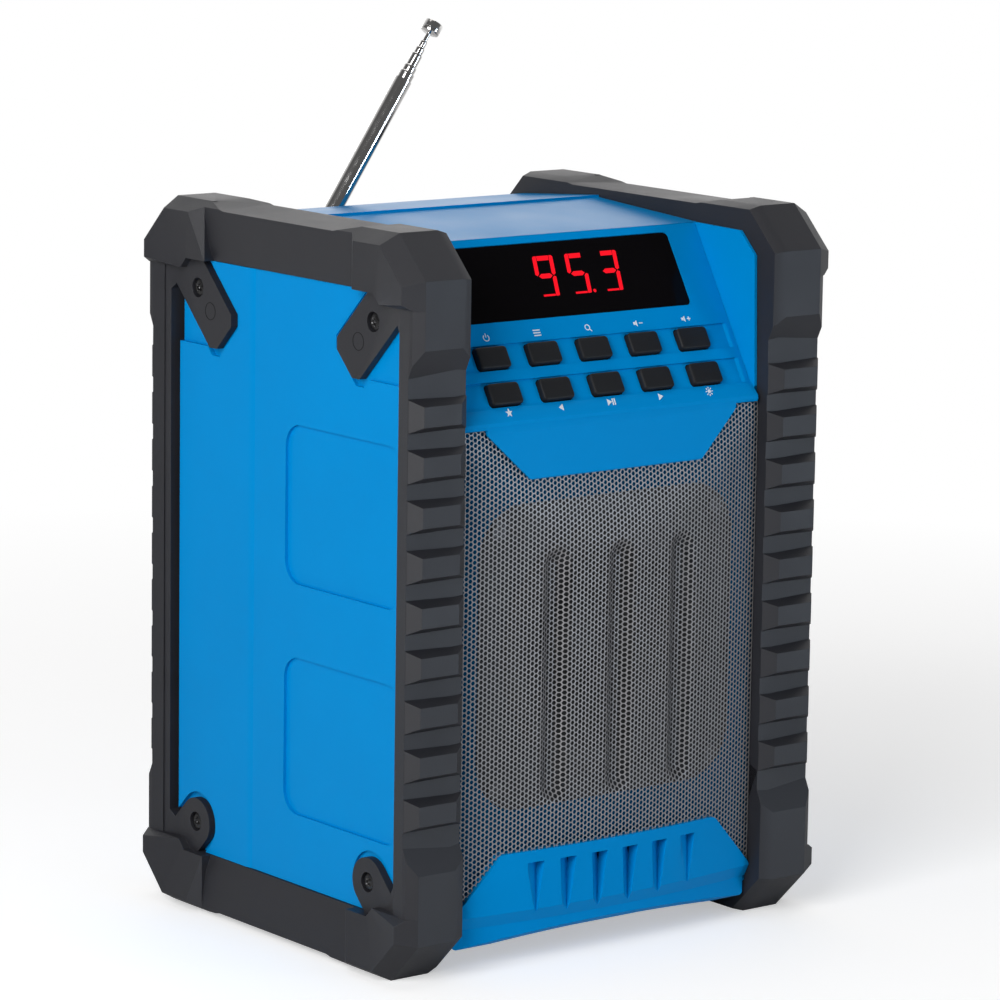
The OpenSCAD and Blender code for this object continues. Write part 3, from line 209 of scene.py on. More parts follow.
def dark_plastic(name, color, rough):
    m = Mat(name, color, rough)
    m.set("Specular IOR Level", 0.25)
    m.bump(m.noise(3600.0), 0.25, 0.08 * MM)
    m.vary_rough(m.noise(60.0), 0.3, 0.7, rough - 0.05, rough + 0.08)
    return m.mat


def window_gloss():
    m = Mat("window_gloss", (0.003, 0.0025, 0.003), 0.09)
    m.set("Specular IOR Level", 0.06)
    m.vary_rough(m.noise(45.0), 0.35, 0.65, 0.05, 0.10)
    return m.mat


def glow(name, color, strength):
    m = Mat(name, (0.02, 0.0, 0.0), 0.3)
    m.set("Emission Color", (*color, 1.0))
    m.set("Emission Strength", strength)
    return m.mat


def print_white():
    m = Mat("print_white", (0.72, 0.76, 0.80), 0.5)
    m.vary_rough(m.noise(900.0), 0.3, 0.7, 0.42, 0.6)
    return m.mat


def chrome():
    m = Mat("chrome", (0.72, 0.71, 0.70), 0.12, 1.0)
    rub = m.noise(260.0, 4.0, 0.6, (1.0, 1.0, 0.12))
    m.vary_rough(rub, 0.3, 0.75, 0.07, 0.22)
    return m.mat


def zinc(name, color, rough):
    m = Mat(name, color, rough, 1.0)
    m.vary_rough(m.noise(900.0), 0.3, 0.7, rough - 0.1, rough + 0.12)
    return m.mat


def plain(name, low, high, rough, scale=300.0, bump=0.15):
    m = Mat(name, high, rough)
    m.vary_color(m.noise(scale), low, high)
    m.bump(m.noise(scale * 6.0), bump, 0.06 * MM)
    return m.mat


def cone_paper():
    m = Mat("cone_paper", (0.018, 0.018, 0.019), 0.75)
    m.vary_color(m.noise(700.0, 5.0, 0.7), (0.012, 0.012, 0.013), (0.035, 0.034, 0.033))
    m.bump(m.noise(2400.0, 4.0, 0.7), 0.6, 0.2 * MM)
    return m.mat


MATS = {
    "blue": blue_plastic(),
    # A darker copy of the blue: painted shade for the housing's faces behind the grille
    "baffle_shade": blue_plastic("baffle_painted_shade", 0.22),
    "rubber": frame_rubber(),
    "grille": grille_paint(),
    "button": dark_plastic("button_rubber", (0.009, 0.0095, 0.011), 0.55),
    "mark": dark_plastic("rubber_mark", (0.004, 0.004, 0.005), 0.6),
    "dark": dark_plastic("dark_plastic", (0.012, 0.012, 0.013), 0.42),
    "window": window_gloss(),
    "digit": glow("digit_red", (1.0, 0.0, 0.012), 1.05),
    "print": print_white(),
    "chrome": chrome(),
    "screw": zinc("screw_dark", (0.06, 0.06, 0.062), 0.34),
    "zinc": zinc("zinc", (0.20, 0.20, 0.205), 0.36),
    "cone": cone_paper(),
    "board": plain("board_green", (0.008, 0.05, 0.02), (0.012, 0.075, 0.03), 0.4),
    "cell": plain("cell_green", (0.01, 0.10, 0.05), (0.015, 0.13, 0.06), 0.3),
    "ferrite": plain("ferrite", (0.02, 0.02, 0.022), (0.035, 0.035, 0.038), 0.7, 800.0, 0.4),
}

# ------------------------------------------------------------------ mesh helpers


@contextmanager
def editing(mesh):
    """A bmesh of the mesh, which is written back at the end."""
    bm = bmesh.new()
    bm.from_mesh(mesh)
    yield bm
    bm.to_mesh(mesh)
    bm.free()


def mesh_from(name, verts, faces, weld=None):
    """A mesh from points in millimetres. Points nearer than weld are joined."""
    mesh = bpy.data.meshes.new(name)
    mesh.from_pydata([tuple(c * MM for c in v) for v in verts], [], faces)
    if weld:
        with editing(mesh) as bm:
            bmesh.ops.remove_doubles(bm, verts=bm.verts, dist=weld * MM)
            bmesh.ops.recalc_face_normals(bm, faces=bm.faces)
    mesh.validate()
    return mesh


def shade(mesh, angle):
    """Smooth shading, with edges sharper than angle kept sharp."""
    limit = math.radians(angle)
    with editing(mesh) as bm:
        for face in bm.faces:
            face.smooth = True
        for edge in bm.edges:
            if len(edge.link_faces) == 2:
                edge.smooth = edge.calc_face_angle(0.0) < limit


def add_object(name, mesh, body, material, replaces=None, smooth=None):
    """Links a mesh as a piece that rides on a body. smooth is the sharp edges' angle in degrees."""
    piece = bpy.data.objects.new(name, mesh)
    scene.collection.objects.link(piece)
    mesh.materials.append(MATS[material])
    if smooth is not None:
        shade(mesh, smooth)
    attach(piece, body)
    if replaces:
        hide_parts(replaces)
    return piece


def apply_modifiers(piece):
    depsgraph = bpy.context.evaluated_depsgraph_get()
    made = bpy.data.meshes.new_from_object(piece.evaluated_get(depsgraph))
    made.name = piece.data.name
    piece.modifiers.clear()
    piece.data = made


MERGE = 0.02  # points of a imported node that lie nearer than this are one
FLAT_ANGLE = 1.0  # faces that meet at less are joined
BEVEL_ANGLE = 24
SHARP_ANGLE = 31


def softened(node, name, body, material, slot, width, segments):
    """A copy of a CAD node with its edges rounded, which stands for the node."""
    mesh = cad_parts[node].data.copy()
    mesh.name = name
    with editing(mesh) as bm:
        bmesh.ops.remove_doubles(bm, verts=bm.verts, dist=MERGE * MM)
        for face in bm.faces:
            face.smooth = False
        for edge in bm.edges:
            edge.smooth = True
        bmesh.ops.dissolve_limit(
            bm,
            angle_limit=math.radians(FLAT_ANGLE),
            verts=bm.verts,
            edges=bm.edges,
            delimit={"NORMAL"},
        )
        bmesh.ops.recalc_face_normals(bm, faces=bm.faces)
    piece = bpy.data.objects.new(name, mesh)
    scene.collection.objects.link(piece)
    bevel = piece.modifiers.new("edges", "BEVEL")
    bevel.width = width * MM
    bevel.segments = segments
    bevel.limit_method = "ANGLE"
    bevel.angle_limit = math.radians(BEVEL_ANGLE)
    bevel.miter_outer = "MITER_ARC"
    bevel.use_clamp_overlap = True
    bevel.harden_normals = False
    apply_modifiers(piece)
    piece.data.materials.clear()
    piece.data.materials.append(MATS[material])
    shade(piece.data, SHARP_ANGLE)
    # Flat faces stay flat beside their rounded edges
    normals = piece.modifiers.new("normals", "WEIGHTED_NORMAL")
    normals.keep_sharp = True
    normals.weight = 100
    apply_modifiers(piece)
    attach(piece, body)
    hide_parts(node)
    return piece


def dress(node, material):
    """Gives a CAD node that stays its material."""
    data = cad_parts[node].data
    data.materials.clear()
    data.materials.append(MATS[material])


# ------------------------------------------------------------------ shapes as (verts, faces)


def join(parts):
    """Several shapes as one."""
    verts, faces = [], []
    for more, polygons in parts:
        base = len(verts)
        verts += more
        faces += [tuple(base + k for k in polygon) for polygon in polygons]
    return verts, faces


def loft(loops):
    """A closed skin through loops that have the same number of points."""
    n = len(loops[0])
    verts = [point for loop in loops for point in loop]
    faces = []
    for i in range(len(loops) - 1):
        for k in range(n):
            a, b = i * n + k, i * n + (k + 1) % n
            faces.append((a, b, b + n, a + n))
    faces.append(tuple(reversed(range(n))))
    faces.append(tuple(range((len(loops) - 1) * n, len(loops) * n)))
    return verts, faces


def ring(r, z, segments):
    turns = [2 * math.pi * k / segments for k in range(segments)]
    return [(r * math.cos(a), r * math.sin(a), z) for a in turns]


def lathe(profile, segments):
    """A closed revolve about Z. profile lists (radius, z), upwards on the outside."""
    return loft([ring(r, z, segments) for r, z in profile])


def prisms(outlines, low, high, place):
    """Prisms over flat outlines. place maps (u, v, n) to a point."""
    return join(
        loft([[place(u, v, n) for u, v in outline] for n in (low, high)]) for outline in outlines
    )


def box2(x, y, w, h):
    return [
        (x - w / 2, y - h / 2),
        (x + w / 2, y - h / 2),
        (x + w / 2, y + h / 2),
        (x - w / 2, y + h / 2),
    ]


def arc_pieces(cx, cy, r, w, start, end, steps):
    """A ring sector of width w as a row of small convex quads. Angles are in degrees."""
    low, high = r - w / 2, r + w / 2
    angles = [math.radians(start + (end - start) * k / steps) for k in range(steps + 1)]
    return [
        [
            (cx + radius * math.cos(angle), cy + radius * math.sin(angle))
            for radius, angle in ((low, a), (high, a), (high, b), (low, b))
        ]
        for a, b in zip(angles, angles[1:])
    ]


def disc(cx, cy, r, steps=16):
    return [(cx + x, cy + y) for x, y, _ in ring(r, 0.0, steps)]


def rounded_loop(w, h, r, steps=6):
    """An anticlockwise rounded rectangle."""
    x, y = w / 2 - r, h / 2 - r
    points = []
    for cx, cy, start in ((x, y, 0), (-x, y, 90), (-x, -y, 180), (x, -y, 270)):
        for k in range(steps + 1):
            a = math.radians(start + 90 * k / steps)
            points.append((cx + r * math.cos(a), cy + r * math.sin(a)))
    return points


# ------------------------------------------------------------------ control panel

FRONT_Y = -70.5
PANEL_FOOT_Z = 183.513
PANEL_TILT = math.radians(31.0)
# How far the panel's nose stands out of its face, as (distance up the slope, height)
NOSE = ((1.525, 1.733), (4.767, 0.998), (6.894, 0.176))

BUTTONS = (
    ("power", "mode", "scan", "volume_down", "volume_up"),
    ("preset", "previous", "play", "next", "dimmer"),
)
BUTTON_PITCH = 21.8
BUTTON_SHIFT = 1.5
ROW_S = (24.9, 11.8)
BUTTON_W, BUTTON_H, BUTTON_R = 13.0, 7.8, 1.3
BUTTON_TOP = 1.6
BUTTON_FOOT = -2.6
BUTTON_ROUND = 0.75


def panel_point(x, s, n):
    """A point on the control panel: x across, s up the slope, n out of the face."""
    return (
        x,
        FRONT_Y + s * math.sin(PANEL_TILT) - n * math.cos(PANEL_TILT),
        PANEL_FOOT_Z + s * math.cos(PANEL_TILT) + n * math.sin(PANEL_TILT),
    )


def on_panel(x, s, n):
    """As panel_point, but n is out of the panel's nose where that stands over the face."""
    for (s0, n0), (s1, n1) in zip(NOSE, NOSE[1:]):
        if s0 <= s <= s1:
            n += n0 + (n1 - n0) * (s - s0) / (s1 - s0)
            break
    return panel_point(x, s, n)


def make_button(name, x, s):
    levels = [(BUTTON_FOOT, 0.0)]
    for k in range(5):
        a = math.radians(90 * k / 4)
        rise = BUTTON_TOP - BUTTON_ROUND * (1 - math.sin(a))
        levels.append((rise, BUTTON_ROUND * (1 - math.cos(a))))
    loops = []
    for n, inset in levels:
        radius = max(BUTTON_R - inset * 0.5, 0.4)
        loop = rounded_loop(BUTTON_W - 2 * inset, BUTTON_H - 2 * inset, radius)
        loops.append([panel_point(x + u, s + v, n) for u, v in loop])
    # A slightly crowned top
    flat_w, flat_h = BUTTON_W - 2 * BUTTON_ROUND, BUTTON_H - 2 * BUTTON_ROUND
    for shrink, rise in ((2.2, 0.06), (5.0, 0.09)):
        loop = rounded_loop(flat_w - shrink, max(flat_h - shrink, 0.8), 0.3)
        loops.append([panel_point(x + u, s + v, BUTTON_TOP + rise) for u, v in loop])
    mesh = mesh_from(name, *loft(loops))
    node = f"button_{name}"
    add_object(f"{name}_cap", mesh, f"{name}_button", "button", node, 50)


# ------------------------------------------------------------------ signs and digits

LINE = 0.34  # width of the signs' lines
PRINT_SUNK = 0.1


def polar(r, degrees):
    return (r * math.cos(math.radians(degrees)), r * math.sin(math.radians(degrees)))


def ray(degrees, start, end, half):
    """A bar that points away from the middle."""
    c, d = polar(1.0, degrees)
    corners = ((start, half), (end, half), (end, -half), (start, -half))
    return [(r * c + side * d, r * d - side * c) for r, side in corners]


LOUDSPEAKER = [
    box2(-1.65, 0, 0.7, 1.0),
    [(-1.2, -0.5), (-0.45, -1.15), (-0.45, 1.15), (-1.2, 0.5)],
]
MINUS = box2(1.25, 0, 1.5, 0.36)
SYMBOLS = {
    "power": arc_pieces(0, -0.1, 1.15, LINE, 128, 412, 24) + [box2(0, 0.75, LINE, 1.5)],
    "mode": [box2(0, y, 3.0, 0.42) for y in (-0.95, 0, 0.95)],
    "scan": arc_pieces(-0.25, 0.25, 0.95, LINE, 0, 360, 24)
    + [[(0.32, -0.56), (0.58, -0.3), (1.42, -1.14), (1.16, -1.4)]],
    "volume_down": LOUDSPEAKER + [MINUS],
    "volume_up": LOUDSPEAKER + [MINUS] + [box2(1.25, y, 0.36, 0.59) for y in (0.475, -0.475)],
    "preset": [[polar(0.6 if k % 2 else 1.45, 90 + 36 * k) for k in range(10)]],
    "previous": [[(-1.0, 0), (0.8, -1.05), (0.8, 1.05)]],
    "play": [[(0.35, 0), (-1.5, 1.05), (-1.5, -1.05)]]
    + [box2(x, 0, 0.42, 2.1) for x in (0.75, 1.6)],
    "next": [[(1.0, 0), (-0.8, 1.05), (-0.8, -1.05)]],
    "dimmer": [disc(0, 0, 0.62)] + [ray(45 * k, 0.95, 1.5, 0.14) for k in range(8)],
}
# Each row's x places and its s, then how tall, slanted and thick it is printed. The lower row
# lies across the panel's nose, and is seen flatter
SYMBOL_ROWS = (
    ((-41.5, -19.9, 2.2, 24.1, 45.5), 32.5, 1.0, 0.0, 0.08),
    ((-43.1, -21.0, 0.5, 22.2, 43.9), 4.95, 1.25, 0.4, 0.2),
)


def make_symbols():
    parts = []
    for names, (xs, s, tall, slant, thick) in zip(BUTTONS, SYMBOL_ROWS):
        for name, x in zip(names, xs):
            outlines = [
                [(x + u + slant * v, s + tall * v) for u, v in outline]
                for outline in SYMBOLS[name]
            ]
            parts.append(prisms(outlines, -PRINT_SUNK, thick, on_panel))
    mesh = mesh_from("symbols", *join(parts))
    add_object("button_symbols", mesh, "radio", "print")


DIGIT_W, DIGIT_H = 8.7, 14.8
DIGIT_LEAN = math.tan(math.radians(8.7))
DIGIT_S = 45.3
DIGITS = (("9", -13.4), ("5", 0.5), ("3", 14.4))
DIGIT_BACK, DIGIT_FRONT = -0.3, -0.21
POINT_PLACE, POINT_R = (10.7, 45.9), 0.62
SEGMENTS = {"9": "abcdfg", "5": "acdfg", "3": "abcdg"}


def segment_outlines():
    """Outlines of a digit's segments, with the origin at its lower left corner."""
    w, h, mid = DIGIT_W, DIGIT_H, DIGIT_H / 2
    side, bar, gap = 1.6, 1.7, 0.22
    inner = side + gap
    tip = side * 0.75 + gap
    shoulder = side + 0.9
    middle = side * 0.55
    return {
        "a": [(inner, h), (inner, h - bar), (w - inner, h - bar), (w - inner, h)],
        "b": [
            (w, h - 0.5), (w - 0.5, h), (w - side, h),
            (w - side, mid + 0.9), (w - middle, mid + 0.15), (w, mid + 0.7),
        ],
        "c": [
            (w, 0.25), (w, mid - 0.5), (w - middle, mid - 0.15),
            (w - side, mid - 0.9), (w - side, 0), (w - 0.3, 0),
        ],
        "d": [(inner, 0.0), (w - inner, 0.0), (w - inner, 0.7), (inner, 0.7)],
        "f": [
            (0, h - 0.5), (0, mid + 0.7), (middle, mid + 0.15),
            (side, mid + 0.9), (side, h), (0.5, h),
        ],
        "g": [
            (tip, mid), (shoulder, mid - bar / 2), (w - shoulder, mid - bar / 2),
            (w - tip, mid), (w - shoulder, mid + bar / 2), (shoulder, mid + bar / 2),
        ],
    }


def make_digits():
    segments = segment_outlines()
    outlines = [
        [(x + u + v * DIGIT_LEAN, DIGIT_S + v) for u, v in segments[key]]
        for digit, x in DIGITS
        for key in SEGMENTS[digit]
    ]
    outlines.append(disc(*POINT_PLACE, POINT_R, 20))
    mesh = mesh_from("digits", *prisms(outlines, DIGIT_BACK, DIGIT_FRONT, panel_point))
    add_object("display_digits", mesh, "radio", "digit")


# ------------------------------------------------------------------ grille

HALF_GAP = 65.5
BOW = 5.2
BOW_R = (HALF_GAP**2 + BOW**2) / (2 * BOW)
BOW_Y = FRONT_Y + 0.5 - BOW + BOW_R
LEAN_FOOT_Z = 145.313
LEAN = BOW / (PANEL_FOOT_Z - LEAN_FOOT_Z)
BEND_ROUND = 1.0

PITCH = 1.77
HOLE_R = 0.84
SHEET = 0.35
EDGE_X = 65.25
TOP_Z = 183.2
# How far a hole's middle may lie past the sheet's sides and top, and under the trim and plate
PAST_SIDE, PAST_TOP = 0.7, 0.9
UNDER_TRIM, UNDER_PLATE = 1.6, 2.5

CHANNEL_X = (-25.9, 1.3, 29.0)
CHANNEL_Z = 98.5
CHANNEL_HALF = 37.75
CHANNEL_DEPTH = 2.4
CHANNEL_FLOOR, CHANNEL_REACH = 1.0, 6.2  # from its middle line to the floor's and the slope's end

TRIM_TOP = 39.5
TRIM_FLAT = 46.6
TRIM_FALL = 19.5 / 18.7

# The badge plate's low edge, half its width there, and its widening over its height
BADGE_LOW = 165.9
BADGE_HALF = 37.0
BADGE_HEIGHT = 16.0
BADGE_SPREAD = 17.0
# The box round the housing's faces behind the grille, which get the painted shade
SHADE_BOX_LOW = (-65.6, -76.0, 36.0)
SHADE_BOX_HIGH = (65.6, -45.0, 184.0)


def smooth_max(a, b, k):
    h = min(max(0.5 + 0.5 * (a - b) / k, 0.0), 1.0)
    return b + (a - b) * h + k * h * (1.0 - h)


def smooth_step(low, high, value):
    t = min(max((value - low) / (high - low), 0.0), 1.0)
    return t * t * (3.0 - 2.0 * t)


def channel_depth(x, z):
    past_end = max(abs(z - CHANNEL_Z) - CHANNEL_HALF, 0.0)
    reach = min(math.hypot(x - cx, past_end) for cx in CHANNEL_X)
    return CHANNEL_DEPTH * (1.0 - smooth_step(CHANNEL_FLOOR, CHANNEL_REACH, reach))


def grille_front(x, z):
    """The sheet's front: bowed, leaning back at its top, with three pressed channels."""
    bowed = BOW_Y - math.sqrt(BOW_R**2 - x * x)
    leaning = FRONT_Y + 0.5 - BOW + LEAN * (z - LEAN_FOOT_Z)
    return smooth_max(bowed, leaning, BEND_ROUND) + channel_depth(x, z)


def trim_edge(x):
    """Height of the lower trim's top edge at x."""
    return TRIM_TOP - max(abs(x) - TRIM_FLAT, 0.0) * TRIM_FALL


def under_badge(x, z):
    """How far a point lies inside the badge plate's outline, about."""
    above = z - BADGE_LOW
    half = BADGE_HALF + BADGE_SPREAD * min(max(above / BADGE_HEIGHT, 0.0), 1.0)
    return min(half - abs(x), above)


def hexagon(x, z, r):
    return [(x + u, z + v) for u, v in (polar(r, 60 * k) for k in range(6))]


def grille_cells():
    """Middles of the holes, in columns that are offset by turns."""
    column = PITCH * math.sqrt(3) / 2
    columns = int(EDGE_X / column) + 1
    rows = range(int(trim_edge(EDGE_X) / PITCH) - 1, int(TOP_Z / PITCH) + 2)
    for c in range(-columns, columns + 1):
        x = c * column
        if abs(x) > EDGE_X + PAST_SIDE:
            continue
        for r in rows:
            z = (r + (c % 2) / 2) * PITCH
            on_sheet = trim_edge(x) - UNDER_TRIM <= z <= TOP_Z + PAST_TOP
            if on_sheet and under_badge(x, z) <= UNDER_PLATE:
                yield x, z


def make_grille():
    verts, index = [], {}
    faces, rims = [], {}

    def vertex(x, z, back):
        x = min(max(x, -EDGE_X), EDGE_X)
        z = min(z, TOP_Z)
        key = (round(x, 3), round(z, 3), back)
        if key not in index:
            index[key] = len(verts)
            verts.append((x, grille_front(x, z) + (SHEET if back else 0.0), z))
        return index[key]

    for x, z in grille_cells():
        outer, hole = hexagon(x, z, PITCH / math.sqrt(3)), hexagon(x, z, HOLE_R)
        outer_front, outer_back = ([vertex(*p, back) for p in outer] for back in (False, True))
        hole_front, hole_back = ([vertex(*p, back) for p in hole] for back in (False, True))
        for k in range(6):
            j = (k + 1) % 6
            skins = (outer_front, hole_front), (hole_front, hole_back), (hole_back, outer_back)
            for a, b in skins:
                face = dict.fromkeys((a[k], a[j], b[j], b[k]))
                if len(face) > 2:
                    faces.append(tuple(face))
            # A cell's side that no second cell shares is the sheet's open edge
            pair = frozenset((outer_front[k], outer_front[j]))
            rim = (outer_front[k], outer_front[j], outer_back[j], outer_back[k])
            rims[pair] = None if pair in rims else rim
    faces += [rim[::-1] for rim in rims.values() if rim and len(set(rim)) == 4]
    mesh = mesh_from("grille", verts, faces)
    with editing(mesh) as bm:
        bmesh.ops.dissolve_degenerate(bm, dist=0.001 * MM, edges=bm.edges)
        bmesh.ops.recalc_face_normals(bm, faces=bm.faces)
    add_object("grille_sheet", mesh, "radio", "grille", "speaker_grille", 40)


def paint_baffle_shade(shell):
    """Painted shade: the housing's faces behind the grille get a darker copy of the blue plastic,
    for the shade that falls there.
    """
    shell.data.materials.append(MATS["baffle_shade"])
    for face in shell.data.polygons:
        place = face.center / MM
        if all(a < c < b for a, c, b in zip(SHADE_BOX_LOW, place, SHADE_BOX_HIGH)):
            face.material_index = 1


# ------------------------------------------------------------------ frames' tabs

TAB_FACE_X = 85.8
TAB_SEAT_X = 84.0
# Each screw's place (y, z) and the turn of its recess in degrees
TAB_SCREWS = (
    ((-50.5, 219.5), 20),
    ((50.5, 219.5), 65),
    ((-50.5, 31.0), 35),
    ((50.5, 31.0), 80),
)
SCREW_R, SCREW_DOME, SCREW_RECESS = 2.8, 1.5, 0.9
# The cross recess, as shares of the head's radius
ARM_LENGTH, ARM_HALF, CORE = 0.60, 0.15, 0.30
SHANK_R, SHANK = 1.5, 10.0
PIN_Y, PIN_Z = (-42.4, 42.9), 212.1
PIN_R, PIN_LINE = 2.95, 0.24


def screw_head(rings=14, spokes=48):
    """A domed pan head with a cross recess. Its seat is at z = 0."""
    verts, faces = [(0.0, 0.0, SCREW_DOME - SCREW_RECESS)], []
    for i in range(1, rings + 1):
        share = i / rings
        dome = SCREW_DOME * (1 - 0.34 * share**2) if i < rings else SCREW_DOME * 0.5
        core = 1 - smooth_step(0.8, 1.3, share / CORE)
        for x, y, _ in ring(SCREW_R * share, 0.0, spokes):
            arm = min(max(abs(x), abs(y)) / (ARM_LENGTH * SCREW_R), 2.0)
            across = min(abs(x), abs(y)) / (ARM_HALF * SCREW_R)
            cut = (1 - smooth_step(0.8, 1.25, across)) * (1 - smooth_step(0.75, 1.15, arm))
            verts.append((x, y, dome - SCREW_RECESS * max(cut * (1 - 0.45 * arm), core)))
    verts += ring(SCREW_R, 0.0, spokes)
    for k in range(spokes):
        j = (k + 1) % spokes
        faces.append((0, 1 + k, 1 + j))
        for i in range(rings):
            a, b = 1 + i * spokes, 1 + (i + 1) * spokes
            faces.append((a + k, b + k, b + j, a + j))
    faces.append(tuple(1 + rings * spokes + k for k in reversed(range(spokes))))
    return verts, faces


def make_tab_screws(side, sign):
    shank = lathe([(0.9, -SHANK), (SHANK_R, 1 - SHANK), (SHANK_R, 0.05)], 24)
    outward = Vector((0, 0, 1)).rotation_difference(Vector((sign, 0, 0))).to_matrix()
    parts = []
    for (y, z), turn in TAB_SCREWS:
        place = Vector((sign * TAB_SEAT_X, y, z))
        turned = outward @ Matrix.Rotation(math.radians(turn), 3, "Z")
        for verts, faces in (screw_head(), shank):
            parts.append(([tuple(place + turned @ Vector(v)) for v in verts], faces))
    name = f"tab_screws_{side}"
    mesh = mesh_from(name, *join(parts))
    add_object(name, mesh, "radio", "screw", f"frame_screws_{side}", 38)


def make_pin_marks(side, sign):
    """Rings that the mould's ejector pins leave on a frame's upper tabs."""
    rings = [quad for y in PIN_Y for quad in arc_pieces(y, PIN_Z, PIN_R, PIN_LINE, 0, 360, 40)]
    shape = prisms(rings, -0.2, 0.05, lambda y, z, n: (sign * (TAB_FACE_X + n), y, z))
    name = f"pin_marks_{side}"
    add_object(name, mesh_from(name, *shape, weld=0.01), "radio", "mark")


# ------------------------------------------------------------------ antenna

PIVOT = Vector((-44.0, 73.8, 192.6))
ANTENNA_LEAN = Matrix.Rotation(math.radians(34.4), 3, "Y")
OUTER_D, STEP_D = 6.4, 0.8
OUTER_LENGTH = 111.4
STAGE_OUT = (3.3, 5.9, 11.0, 13.7, 16.5, 20.1)  # how far each stage stands out at rest
STAGE_FOOT, STAGE_STEP = 26.0, 2.0
TUBE_WALL = 0.32
KNOB_R, KNOB_H = 3.5, 4.2


def on_antenna(shape):
    verts, faces = shape
    return [tuple(PIVOT + ANTENNA_LEAN @ Vector(v)) for v in verts], faces


def make_stage_tube(stage):
    """A drawn tube whose mouth is rolled in over the next one."""
    r = (OUTER_D - STEP_D * (stage - 1)) / 2
    foot = STAGE_FOOT + STAGE_STEP * (stage - 2)
    mouth = OUTER_LENGTH + STAGE_OUT[stage - 2]
    profile = [
        (r - 0.02, foot),
        (r, foot + 0.1),
        (r, mouth - 1.1),
        (r + 0.03, mouth - 0.95),
        (r + 0.03, mouth - 0.45),
        (r - 0.06, mouth - 0.12),
        (r - 0.2, mouth),
        (r - TUBE_WALL, mouth - 0.02),
        (r - TUBE_WALL, mouth - 6.0),
    ]
    name = f"antenna_stage_{stage}_tube"
    mesh = mesh_from(name, *on_antenna(lathe(profile, 40)))
    node = f"antenna_section_{stage}"
    add_object(name, mesh, f"antenna_stage_{stage}", "chrome", node, 40)


def make_knob():
    end = OUTER_LENGTH + STAGE_OUT[-1]
    r, top = KNOB_R, end + KNOB_H
    rod = [(0.78, 36.0), (0.8, 36.2), (0.8, end + 0.2)]
    knob = [
        (1.2, end - 0.25),
        (1.5, end - 0.1),
        (r - 0.5, end),
        (r - 0.15, end + 0.15),
        (r, end + 0.5),
        (r, end + 1.2),
        (r - 0.12, end + 1.3),
        (r - 0.12, end + 1.42),
        (r, end + 1.52),
        (r, top - 0.5),
        (r - 0.15, top - 0.15),
        (r - 0.5, top),
        (r - 1.2, top + 0.02),
        (0.4, top + 0.06),
    ]
    mesh = mesh_from("antenna_knob", *on_antenna(join((lathe(rod, 24), lathe(knob, 56)))))
    add_object("antenna_knob", mesh, "antenna_end", "chrome", "antenna_tip", 40)


# ------------------------------------------------------------------ stage and lights

WORLD_LIGHT = 0.11
FLOOR_LIFT = 0.45
FLOOR_HALF = 9000
AWAY = (0.62, 0.78, 0.0)  # the level direction from the front of the set to its back
LAMP_TARGET = (0.0, 0.0, 0.12)
# Each lamp's place, size, power and colour
LAMPS = {
    "left_box": ((-1.0, -0.5, 0.62), (0.7, 0.8), 13.5, (1.0, 1.0, 1.0)),
    "top_box": ((0.1, 0.1, 1.8), (1.3, 1.1), 5.3, (1.0, 0.97, 0.95)),
    "front_box": ((0.8, -1.35, 0.08), (0.4, 0.4), 8.6, (0.72, 0.85, 1.0)),
    "back_box": ((1.3, 1.65, 0.75), (1.2, 0.8), 3.0, (1.0, 0.98, 0.97)),
    "rear_fill": ((0.25, 1.7, 0.2), (0.9, 0.6), 5.0, (1.0, 1.0, 1.0)),
}


def make_floor():
    corners = [(x * FLOOR_HALF, y * FLOOR_HALF, 0) for x, y in ((-1, -1), (1, -1), (1, 1), (-1, 1))]
    mesh = mesh_from("floor", corners, [(0, 1, 2, 3)])
    piece = bpy.data.objects.new("floor", mesh)
    scene.collection.objects.link(piece)
    m = Mat("floor_white", (0.8, 0.8, 0.8), 0.7)
    m.vary_rough(m.noise(3.0), 0.3, 0.7, 0.66, 0.74)
    m.set("Specular IOR Level", 0.1)
    m.set("Emission Color", (1.0, 1.0, 1.0, 1.0))
    camera_ray = m.node("ShaderNodeLightPath").outputs["Is Camera Ray"]
    m.link(m.math("MULTIPLY", camera_ray, FLOOR_LIFT), m.bsdf.inputs["Emission Strength"])
    # Further off, the camera, metal and glass see plain white
    distance = m.node("ShaderNodeVectorMath", operation="LENGTH")
    m.link(m.coords, distance.inputs[0])
    fade = m.ramp(distance.outputs["Value"], 0.2, 0.8, 0.0, 1.0)
    behind = m.ramp(m.dot(m.coords, AWAY), 0.0, 1.2, 0.0, 1.0)
    blend = m.node("ShaderNodeMixShader")
    m.link(m.math("MULTIPLY", fade, m.sees_background(behind)), blend.inputs["Fac"])
    m.link(m.bsdf.outputs[0], blend.inputs[1])
    m.link(m.node("ShaderNodeEmission").outputs[0], blend.inputs[2])
    out = next(n for n in m.tree.nodes if n.type == "OUTPUT_MATERIAL")
    m.link(blend.outputs[0], out.inputs["Surface"])
    mesh.materials.append(m.mat)


def make_world():
    world = bpy.data.worlds.new("studio")
    scene.world = world
    world.use_nodes = True
    world.node_tree.nodes.clear()
    nodes = Nodes(world.node_tree)
    mix = nodes.node("ShaderNodeMixShader")
    for socket, strength in ((1, WORLD_LIGHT), (2, 1.0)):
        background = nodes.node("ShaderNodeBackground")
        background.inputs["Color"].default_value = (1.0, 1.0, 1.0, 1.0)
        background.inputs["Strength"].default_value = strength
        nodes.link(background.outputs[0], mix.inputs[socket])
    # Metal and gloss see the white only behind the object: the room on the camera's side is dim
    direction = nodes.node("ShaderNodeTexCoord").outputs["Generated"]
    behind = nodes.ramp(nodes.dot(direction, AWAY), 0.05, 0.75, 0.0, 1.0)
    nodes.link(nodes.sees_background(behind), mix.inputs["Fac"])
    nodes.link(mix.outputs[0], nodes.node("ShaderNodeOutputWorld").inputs["Surface"])


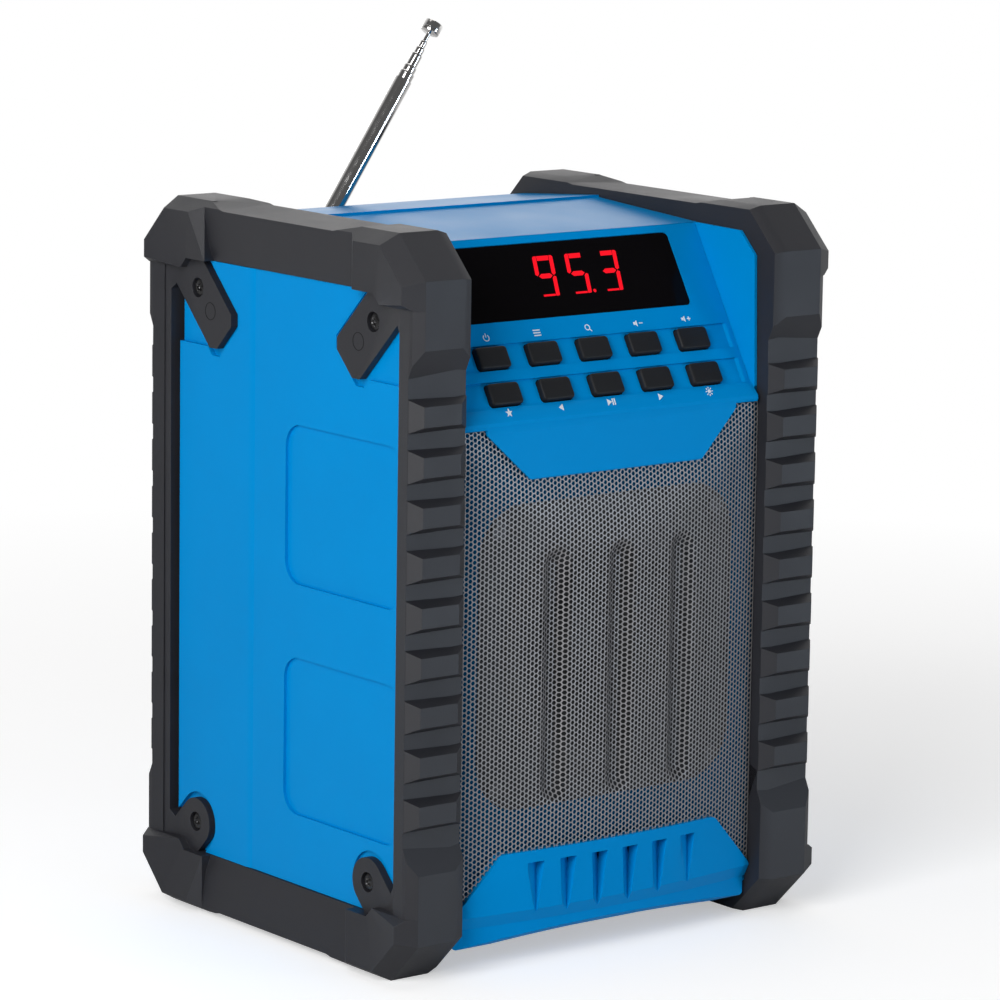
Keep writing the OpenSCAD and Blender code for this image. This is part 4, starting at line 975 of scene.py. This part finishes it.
def make_lights():
    for name, (place, size, power, color) in LAMPS.items():
        data = bpy.data.lights.new(name, "AREA")
        data.shape = "RECTANGLE"
        data.size, data.size_y = size
        data.energy = power
        data.color = color
        lamp = bpy.data.objects.new(name, data)
        lamp.location = place
        lamp.rotation_mode = "QUATERNION"
        aim = Vector(LAMP_TARGET) - Vector(place)
        lamp.rotation_quaternion = aim.to_track_quat("-Z", "Y")
        scene.collection.objects.link(lamp)


# ------------------------------------------------------------------ the radio

# Each node that a rounded copy stands for, with the copy's name, body, material, slot, edge
# radius and number of steps in it
SOFTENED = {
    "front_housing": ("front_shell", "radio", "blue", "housing_plastic", 0.6, 3),
    "rear_housing": ("rear_shell", "radio", "blue", "housing_plastic", 0.6, 3),
    "control_panel": ("panel_moulding", "radio", "blue", "housing_plastic", 0.3, 2),
    "lower_trim": ("trim_moulding", "radio", "blue", "housing_plastic", 0.35, 2),
    "side_frame_left": ("bumper_left", "radio", "rubber", "frame_rubber", 0.55, 3),
    "side_frame_right": ("bumper_right", "radio", "rubber", "frame_rubber", 0.55, 3),
    "port_cover": ("port_flap_rubber", "port_flap", "rubber", "frame_rubber", 0.4, 2),
    "antenna_elbow": ("antenna_knuckle", "antenna_swivel", "chrome", "antenna_chrome", 0.25, 2),
}
# The CAD nodes that stay, by material
DRESSED = {
    "window": ("display_lens",),
    "dark": ("display_module", "tact_switches", "speaker_basket", "port_sockets", "battery_tray"),
    "board": ("control_board", "main_board"),
    "cone": ("speaker_cone",),
    "ferrite": ("speaker_magnet",),
    "screw": ("speaker_screws", "housing_screws"),
    "zinc": ("board_screws", "port_cover_pin", "antenna_nut", "antenna_pin"),
    "cell": ("battery_cells",),
    "chrome": ("antenna_tube",),
}
SIDES = {"left": -1, "right": 1}

make_camera()
make_world()
make_floor()
make_lights()

for node, looks in SOFTENED.items():
    piece = softened(node, *looks)
    if node == "front_housing":
        # The faces behind the grille get painted shade
        paint_baffle_shade(piece)
for material, nodes in DRESSED.items():
    for node in nodes:
        dress(node, material)

make_grille()
for names, s in zip(BUTTONS, ROW_S):
    for i, name in enumerate(names):
        make_button(name, BUTTON_SHIFT + (i - 2) * BUTTON_PITCH, s)
make_symbols()
for side, sign in SIDES.items():
    make_pin_marks(side, sign)
make_digits()
for side, sign in SIDES.items():
    make_tab_screws(side, sign)
for stage in range(2, 7):
    make_stage_tube(stage)
make_knob()
